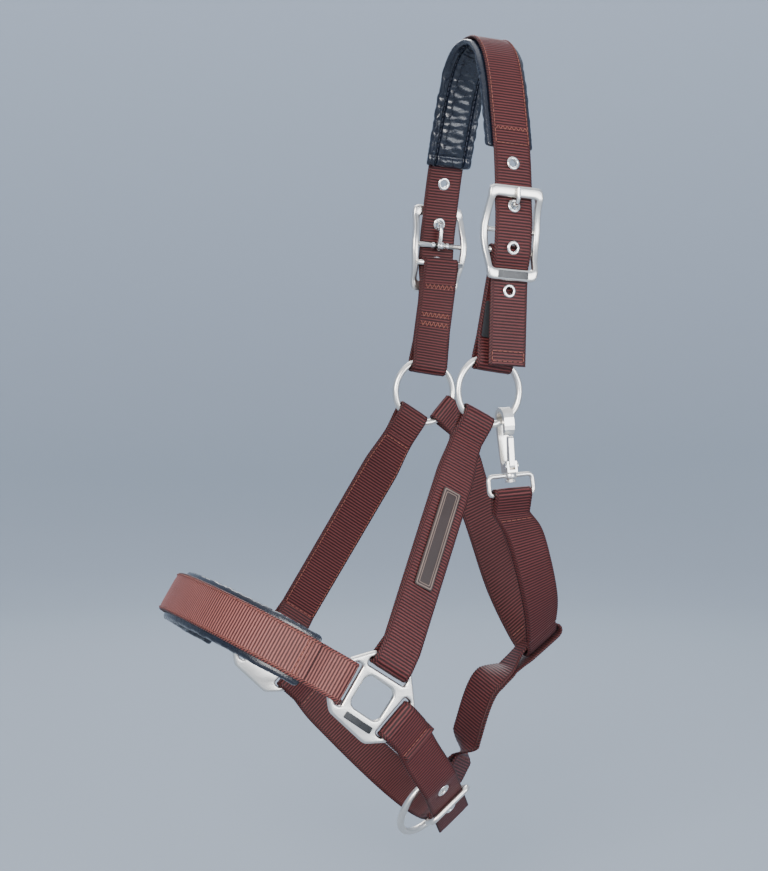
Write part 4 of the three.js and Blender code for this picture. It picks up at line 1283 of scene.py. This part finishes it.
def make_cheeks():
    head, strap, run = cheek_belt(NEAR_CHEEK_ANGLE)
    web = strap.build("near_cheek_webbing", WEB, "lower")
    finish_piece(web, "webbing", "near_cheek_strap")
    finish_piece(cheek_threads("near_cheek_stitching", strap, run), "webbing")
    _, far_strap, far_run = cheek_belt(FAR_CHEEK_ANGLE)
    pattern = far_strap.build("near_cheek_pattern", WEB, "lower")
    sewing = cheek_threads("near_cheek_pattern_sewing", far_strap, far_run)
    for piece, name, nodes in ((pattern, "far_cheek_webbing", ["far_cheek_strap"]),
                               (sewing, "far_cheek_stitching", [])):
        finish_piece(mirrored_object(piece, name, "lower"), "webbing", *nodes)
        bpy.data.objects.remove(piece)
    make_label(head, rim_loop(SLOT_ANGLES["cheek"]))


LABEL_HALF = (32.0, 6.0)
LABEL_THICK = 1.0
LABEL_LIFT = 3.0
LABEL_BORDERS = [((31.3, 5.3), (30.5, 4.5)), ((29.7, 3.8), (29.2, 3.3))]


def make_label(head, foot):
    """The rubber label half way down the near cheek strap, with two raised border lines."""
    top = head["bar"] + head["dir"] * LOOP_REACH
    low = foot["bar"] + foot["dir"] * LOOP_REACH
    along = unit(low - top)
    w = across(along, unit(head["w"] + aligned(foot["w"], head["w"])))
    face = np.cross(along, w)
    face = face if face[1] < 0 else -face
    base = (top + low) / 2 + face * LABEL_LIFT
    label = plate("cheek_label", round_rect(*LABEL_HALF, 1.4), [], LABEL_THICK, 0.3, base, along,
                  face, RUBBER, "lower")
    finish_piece(label, "label", "cheek_patch")
    borders = []
    for outer, inner in LABEL_BORDERS:
        borders.append(plate("border", round_rect(*outer, 1.0), [round_rect(*inner, 0.7)[::-1]],
                             0.36, 0.12, base + face * 0.55, along, face, RUBBER_EDGE, None))
    finish_piece(joined("cheek_label_border", borders, "lower"), "label")


# ---------------------------------------------------------------- noseband

NOSE_DEPTH = 79.0
NOSE_RUN = polar(149)
NOSE_WIDTH = unit(np.cross(vec(0, 1, 0), NOSE_RUN))
NOSE_HALF = [(11.5, -90), (24, -88.4), (42, -79.5), (58, -64.5), (70, -45), (76.6, -22)]
OVERLAY_LIFT = 2.25
END_STATION = 20
NOSE_STEPS = 341


def nose_point(s, y):
    bar = rim_loop(SLOT_ANGLES["nose"])["bar"]
    return vec(bar[0], y, bar[2]) + NOSE_RUN * s


def fold_end(loop, sign=1, length=7.0, lift=2.1):
    """The short sewn-down end inside a loop, then the loop itself, up to the run."""
    y_dir = np.cross(loop["w"], loop["dir"]) * sign
    end = loop["bar"] + loop["dir"] * (loop.get("reach", LOOP_REACH) + length) - y_dir * lift
    path = loop_path(loop, lift, 0.0) if sign > 0 else loop_path(loop, 0.0, lift)[::-1]
    start = path[0]
    lead = end + (start - end) * np.linspace(0, 1, 8)[:, None]
    return np.vstack([lead[:-1], path])


def make_noseband():
    near = [nose_point(s, y) for s, y in NOSE_HALF]
    line = catmull([*near, nose_point(NOSE_DEPTH, 0), *[flip(p) for p in near[::-1]]], NOSE_STEPS)
    widths = np.tile(NOSE_WIDTH, (len(line), 1))
    loop = rim_loop(SLOT_ANGLES["nose"])
    start = fold_end(loop)
    path = np.vstack([start, line[2:-2], flip(start)[::-1]])
    base_widths = np.vstack([np.tile(loop["w"], (len(start), 1)), widths[2:-2],
                             np.tile(loop["w"], (len(start), 1))])
    base = Strap(path, base_widths)
    # The noseband's webbing and top layer use the copy painted lighter, which is painted light.
    finish_piece(base.build("noseband_webbing", WEB_NOSE_PAINTED_LIGHT, "lower"), "nose_webbing",
                 "noseband_base")
    n = unit_rows(np.cross(widths, tangents(line)))
    cut = slice(END_STATION, -END_STATION)
    over = Strap((line + n * OVERLAY_LIFT)[cut], widths[cut])
    finish_piece(over.build("noseband_top_layer", WEB_NOSE_PAINTED_LIGHT, "lower"), "nose_webbing",
                 "noseband_overlay")
    threads = Stitches()
    last = over.s[-1]
    for s in (5.0, 7.4, last - 7.4, last - 5.0):
        threads.across(over, s)
    for w in (-11.0, 11.0):
        threads.row(over, (3.0, w), (last - 3.0, w))
    finish_piece(threads.build("noseband_stitching", THREAD, "lower"), "nose_webbing")
    back = (line - n * (WEB_THICK / 2 + 0.3))[cut]
    make_pad("noseband_lining", back, widths[cut], "noseband_pad", "lower")


# ---------------------------------------------------------------- chin

CHIN_APEX = 91.0
BILLET_HEAD = (73.4, -54.8)
HEEL = (16.0, -5.75)
CHIN_TAIL_T = 27.0
CHIN_RUN = unit(vec(0.633, 0, -0.774))
CHIN_WIDTH = unit(np.cross(CHIN_RUN, vec(0, 1, 0)))
BILLET_T = unit(CHIN_RUN * 0.74 + vec(0, 0.6726, 0))
BILLET_N = unit(CHIN_RUN * 0.6726 + vec(0, -0.74, 0))
CHIN_RING_AXIS = unit(CHIN_RUN * 0.646 + vec(0, -0.763, 0))
CHIN_RING_SIDE = unit(CHIN_RUN * 0.763 + vec(0, 0.646, 0))
FAR_CHIN = [(88.6, -13), (89.4, 4), (85, 24), (75, 43), (60, 60), (42, 74.5), (25, 84.5)]
CHIN_EYELETS = (-18.8, 8.3)


def chin_point(s, y):
    bar = rim_loop(SLOT_ANGLES["chin"])["bar"]
    return vec(bar[0], y, bar[2]) + CHIN_RUN * s


def chin_frame(t, n):
    return chin_point(*BILLET_HEAD) + BILLET_T * t + BILLET_N * n


CHIN_RING_CENTRE = chin_point(CHIN_APEX, 0)


def open_strap(start, points, start_w, widths, finish=None, finish_w=None, scale=None):
    """Joins a folded start, a smooth run and perhaps a folded end."""
    line = catmull(points, 400)
    w = blend_widths(widths, 400)
    path, wid = [start, line[4:]], [np.tile(start_w, (len(start), 1)), w[4:]]
    if finish is not None:
        path[1], wid[1] = line[4:-4], w[4:-4]
        path.append(finish)
        wid.append(np.tile(finish_w, (len(finish), 1)))
    pts = np.vstack(path)
    factor = np.ones(len(pts)) if scale is None else scale(pts)
    return Strap(smoothed(pts, 2), np.vstack(wid), scale=factor)


def make_chin_straps():
    loop = rim_loop(SLOT_ANGLES["chin"])
    loop_w = aligned(loop["w"], CHIN_WIDTH)
    start = fold_end(loop, length=9.0)
    points = [loop["bar"] + loop["dir"] * 11.5, chin_point(28, -84),
              *[chin_frame(t, 0) for t in (-26, -20, -12, 0, 12, CHIN_TAIL_T)]]
    near = open_strap(start, points, loop_w, [loop_w, CHIN_WIDTH, CHIN_WIDTH, CHIN_WIDTH])
    holes = [near.nearest(chin_frame(t, 0)) for t in CHIN_EYELETS]
    finish_piece(near.build("near_chin_webbing", WEB, "lower", holes), "webbing",
                 "near_chin_strap")
    for i, s in enumerate(holes):
        set_eyelet(near, s, f"chin_eyelet_{i + 1}", "lower")
    heel = {"bar": chin_frame(*HEEL), "dir": unit(CHIN_RUN * 0.3 + vec(0, 0.954, 0)),
            "w": CHIN_WIDTH, "hole": 1.9}
    heel_start = fold_end(heel, -1, 10.0)
    far_points = [heel["bar"] + heel["dir"] * 11.5, *[chin_point(s, y) for s, y in FAR_CHIN],
                  flip(loop["bar"] + loop["dir"] * 11.5)]
    far_widths = [CHIN_WIDTH, CHIN_WIDTH, CHIN_WIDTH, loop_w]
    far = open_strap(heel_start, far_points, CHIN_WIDTH, far_widths, flip(start)[::-1], loop_w)
    slot_at = far.nearest(heel["bar"] - heel["dir"] * 3.0)
    web = far.build("far_chin_webbing", WEB, "lower", slot=(slot_at, 5.6))
    finish_piece(web, "webbing", "far_chin_strap")
    threads = Stitches()
    for strap, spots in ((near, [loop["bar"] + loop["dir"] * 17]),
                         (far, [flip(loop["bar"] + loop["dir"] * 17),
                                heel["bar"] + heel["dir"] * 17])):
        for spot in spots:
            for side in (1, -1):
                threads.across(strap, strap.nearest(spot), side=side)
    finish_piece(threads.build("chin_stitching", THREAD, "lower"), "webbing")
    make_chin_hardware(heel)


def make_chin_hardware(heel):
    head = chin_frame(0, 3)
    z = unit(np.cross(BILLET_T, BILLET_N))
    across_frame = heel["bar"] - head
    length = np.linalg.norm(across_frame)
    loop = resampled_loop(round_rect(length / 2, 14.8, 3.0), 140, 2)
    middle = (head + heel["bar"]) / 2
    path = middle + loop[:, :1] * unit(across_frame) + loop[:, 1:] * z
    frame_piece = tube("chin_buckle_frame", path, 1.8, NICKEL, "lower", 20, True)
    finish_piece(frame_piece, "nickel", "chin_buckle")
    rod_at = [(HEEL[0] - 2.5, HEEL[1] + 0.2), (9, -4.2), (3, -3.6), (-2, -3.4)]
    rod = tube("rod", [chin_frame(t, n) for t, n in rod_at], [1.3, 1.25, 1.1], BRIGHT, None,
               count=30)
    tongue = joined("chin_tongue_rod", [knuckle(heel["bar"], CHIN_WIDTH, 4, 3.0), rod],
                    "chin_tongue")
    finish_piece(tongue, "bright_nickel", "chin_tongue")
    ring = torus("lead_ring", CHIN_RING_CENTRE, CHIN_RING_AXIS, CHIN_RING["radius"],
                 CHIN_RING["wire"], NICKEL, "chin_ring")
    finish_piece(ring, "nickel", "chin_ring")


# ---------------------------------------------------------------- back and throat straps

THROAT_LOW = vec(34.5, -11, -375)
THROAT_WIDTH = unit(vec(0.8, 0, 0.6))
THROAT_IN = vec(-0.6, 0, 0.8)
THROAT_RING_WIDTH = 19.0
BACK_LOOP_WIDTH = 14.0
BACK_DIR = unit(CHIN_WIDTH * 0.954 - CHIN_RING_SIDE * 0.3)
BACK_FOOT_WIDTH = unit(CHIN_WIDTH * 0.3 + CHIN_RING_SIDE * 0.954)
BACK_SIDE_ON = unit(vec(-0.22, 0.91, 0.35))


def throat_point(y, n, w):
    return THROAT_LOW + vec(0, y, 0) + THROAT_IN * n + THROAT_WIDTH * w


def make_back_strap():
    foot = {"bar": CHIN_RING_CENTRE + BACK_DIR * CHIN_RING["radius"], "dir": BACK_DIR,
            "w": BACK_FOOT_WIDTH, "hole": CHIN_RING["wire"] + 0.35,
            "stretch": (-ring_sag(CHIN_RING["radius"], WEB_WIDTH), 0.0)}
    head = {"bar": throat_point(0, 1.5, 0), "dir": -THROAT_WIDTH, "w": vec(0, 1, 0), "hole": 3.0,
            "stretch": (-12.4, 12.4), "reach": 26.0}
    middle = [foot["bar"] + foot["dir"] * 30 + vec(-8, 0, 4),
              head["bar"] + head["dir"] * 40 + vec(-4, 0, 0)]
    pts, widths, run = belt(foot, head, middle, mid_widths=[BACK_SIDE_ON] * 3)
    strap = Strap(pts, widths, True, gather(pts, head["bar"], BACK_LOOP_WIDTH, 13, 17))
    finish_piece(strap.build("back_webbing", WEB, "lower"), "webbing", "back_strap")
    threads = Stitches()
    inner = strap.nearest(foot["bar"] + foot["dir"] * 16 - strap.n[4] * FOLD_LIFT)
    for face in (4.0, 8.0, run - 16):
        threads.zigzag(strap, face, 8.0, 2.4)
    for face in (-6.0, -10.0):
        threads.zigzag(strap, inner + face, 8.0, 2.4)
    finish_piece(threads.build("back_stitching", THREAD, "lower"), "webbing")


SNAP_CROOK = RING_CENTRE + polar(-59) * RING["radius"]
SNAP_DOWN = unit(vec(0.07, -0.088, -0.994))
SNAP_SIDE = across(SNAP_DOWN, vec(0.993, 0, 0.119))
SNAP_OUT = unit(np.cross(SNAP_DOWN, SNAP_SIDE))
EYE_TOP = 34.0
EYE_FOOT = 45.0


def snap_point(v, out):
    return SNAP_CROOK + SNAP_DOWN * v + SNAP_OUT * out


def make_throat():
    ring = ring_loop(polar(-41), THROAT_RING_WIDTH)
    start = flip(fold_end(ring, length=14.0))
    start_w = aligned(ring["w"], vec(1, 0, 0.2))
    points = [flip(ring["bar"] + ring["dir"] * 11.5), vec(6, 44, -254), vec(9, 35, -278),
              vec(13.5, 25, -303), vec(20, 11, -338), throat_point(12, 11, 2.4),
              throat_point(8.5, 4.4, 1), throat_point(4.5, 1, 0.3), throat_point(0, 0, 0),
              throat_point(-4.5, 1, 0.3), throat_point(-8.5, 4.4, 1),
              throat_point(-12, 10.2, 2.2)]
    widths = [start_w, vec(0.95, 0, 0.31), vec(0.9, 0, 0.43), *[THROAT_WIDTH] * 5]
    far_bar = flip(ring["bar"])

    def squeezed(pts):
        return gather(pts, far_bar, THROAT_RING_WIDTH)

    strap = open_strap(start, points, start_w, widths, scale=squeezed)
    finish_piece(strap.build("throat_webbing", WEB, "lower"), "webbing", "throat_strap")
    threads = Stitches()
    fold = strap.nearest(far_bar + flip(ring["dir"]) * 22)
    for side in (1, -1):
        threads.across(strap, fold, 8.6, side)
        threads.across(strap, strap.s[-1] - 34, 10.2, side)
    finish_piece(threads.build("throat_stitching", THREAD, "lower"), "webbing")
    make_branch()


def make_branch():
    eye = {"bar": snap_point(EYE_FOOT, 0), "dir": across(SNAP_SIDE, vec(0.39, 0.24, -0.89)),
           "w": SNAP_SIDE, "hole": 1.9}
    points = [throat_point(-12.15, 10.6, 2.3), vec(27.9, -27.8, -355), vec(24.2, -33, -344),
              vec(15.6, -40.5, -322), vec(5.5, -46.5, -300), eye["bar"] + eye["dir"] * 12]
    eye_w = aligned(eye["w"], THROAT_WIDTH)
    line, widths, n = run_stations(points, [THROAT_WIDTH, vec(0.93, 0, 0.36), eye_w], 300)
    eye["w"] = eye_w
    loop = loop_path(eye, FOLD_LIFT, FOLD_LIFT)
    path = np.vstack([(line + n * FOLD_LIFT)[:-2], loop, (line - n * FOLD_LIFT)[:-2][::-1]])
    wid = np.vstack([widths[:-2], np.tile(eye_w, (len(loop), 1)), widths[:-2][::-1]])
    strap = Strap(path, wid)
    finish_piece(strap.build("throat_branch_webbing", WEB, "lower"), "webbing", "throat_branch")
    run = arc_length(line)[-1]
    threads = Stitches()
    for s in (run - 5.0, strap.s[-1] - run + 5.0):
        threads.across(strap, s)
    finish_piece(threads.build("throat_branch_stitching", THREAD, "lower"), "webbing")


def make_snap():
    centre = snap_point((EYE_TOP + EYE_FOOT) / 2, 0)
    loop = resampled_loop(round_rect(14.7, 5.75, 2.6), 140, 2)
    path = centre + loop[:, :1] * SNAP_SIDE + loop[:, 1:] * SNAP_DOWN
    eye = tube("eye", path, 1.42, NICKEL, None, 20, True)
    h = 1.9
    profile = [(2.2, -h), (3.4, -h), (3.9, -h + 0.5), (3.9, h - 0.5), (3.4, h), (2.2, h)]
    boss = lathe("boss", profile, snap_point(EYE_TOP, 0), SNAP_DOWN, NICKEL, None, 36)
    finish_piece(joined("snap_eye_loop", [eye, boss], "lower"), "nickel", "snap_eye")
    for name, material, width in (("snap_hook", NICKEL, 0.8), ("snap_gate", NICKEL, 0.5),
                                  ("gate_rivet", BRIGHT, 0.25)):
        cad = frame["nodes"][name]
        cad.data.materials.clear()
        cad.data.materials.append(material)
        bevel = cad.modifiers.new("edges", "BEVEL")
        bevel.width = width * MM
        bevel.segments = 3
        bevel.limit_method = "ANGLE"
        bevel.angle_limit = math.radians(28)
        bevel.harden_normals = True


# ---------------------------------------------------------------- stage

FLOOR_Z = -0.56
FLOOR_RADIUS = 4.2
WALL_HEIGHT = 4.2
BEND = 2.4
FLOOR_SIDES = 72
# Painted shade and light: the one paper is darker on the floor and lighter up the wall.
FLOOR_PAINTED_SHADE_COLOUR = (0.32, 0.362, 0.415)
WALL_PAINTED_LIGHT_COLOUR = (0.66, 0.715, 0.80)
AIR_COLOUR = (0.80, 0.86, 0.95, 1)
AIR_STRENGTH = 1.25
CAMERA_AT = Vector((-0.45716, -0.96483, -0.21977))
CAMERA_LOOK = Vector((0.3745, 0.9270, -0.0211))
CAMERA_LENS = 69.4
LIGHT_TARGET = Vector((-0.05, 0.0, -0.25))
# Name, place, size, power, colour.
LIGHTS = [("key", (-1.3, -1.7, 0.45), 1.2, 66, (1.0, 0.98, 0.95)),
          ("fill", (0.75, -2.0, -0.25), 1.5, 46, (0.93, 0.96, 1.0)),
          ("rim", (0.4, 1.5, 1.0), 1.0, 18, (1.0, 1.0, 1.0)),
          ("overhead", (0.0, 0.0, 1.9), 1.8, 8, (1.0, 1.0, 1.0))]


def backdrop():
    """Pale floor that curves up into a wall all round."""
    flat = FLOOR_RADIUS - BEND
    profile = [(0.001, 0.0), (0.5, 0.0), (flat, 0.0)]
    for a in np.linspace(0, math.pi / 2, 12)[1:]:
        profile.append((flat + BEND * math.sin(a), BEND * (1 - math.cos(a))))
    profile.append((FLOOR_RADIUS, WALL_HEIGHT))
    turns = np.linspace(0, 2 * math.pi, FLOOR_SIDES, endpoint=False)
    verts = [(r * math.cos(a), r * math.sin(a), z + FLOOR_Z) for a in turns for r, z in profile]
    rings = np.arange(len(verts)).reshape(FLOOR_SIDES, -1)
    faces = [(a[j], a[j + 1], b[j + 1], b[j]) for a, b in zip(rings, np.roll(rings, -1, 0))
             for j in range(len(profile) - 1)]
    # The paper's colours are painted shade on the floor and painted light up the wall.
    paper = paper_material(FLOOR_PAINTED_SHADE_COLOUR, WALL_PAINTED_LIGHT_COLOUR, FLOOR_Z, BEND)
    make_object("studio_floor", np.array(verts) / MM, faces, paper)


def turned_to(obj, direction):
    obj.rotation_mode = "QUATERNION"
    obj.rotation_quaternion = direction.to_track_quat("-Z", "Y")


def area_light(name, place, size, power, colour):
    data = bpy.data.lights.new(name, "AREA")
    data.shape = "DISK"
    data.size = size
    data.energy = power
    data.color = colour
    light = linked_object(name, data)
    light.location = place
    turned_to(light, LIGHT_TARGET - Vector(place))


def make_camera():
    camera = linked_object("camera", bpy.data.cameras.new("camera"))
    camera.location = CAMERA_AT
    turned_to(camera, CAMERA_LOOK)
    camera.data.sensor_width = 36.0
    camera.data.lens = CAMERA_LENS
    camera.data.clip_start = 0.05
    camera.data.clip_end = 50.0
    bpy.context.scene.camera = camera


def make_stage():
    backdrop()
    for light in LIGHTS:
        area_light(*light)
    world = bpy.data.worlds.new("studio_air")
    world.use_nodes = True
    background = world.node_tree.nodes["Background"]
    background.inputs["Color"].default_value = AIR_COLOUR
    background.inputs["Strength"].default_value = AIR_STRENGTH
    bpy.context.scene.world = world
    make_camera()


make_stage()
make_crown()
for tail_side in ("near", "far"):
    make_tail(tail_side)
make_buckles()
make_carriers()
make_fittings()
make_cheeks()
make_noseband()
make_chin_straps()
make_back_strap()
make_throat()
make_snap()
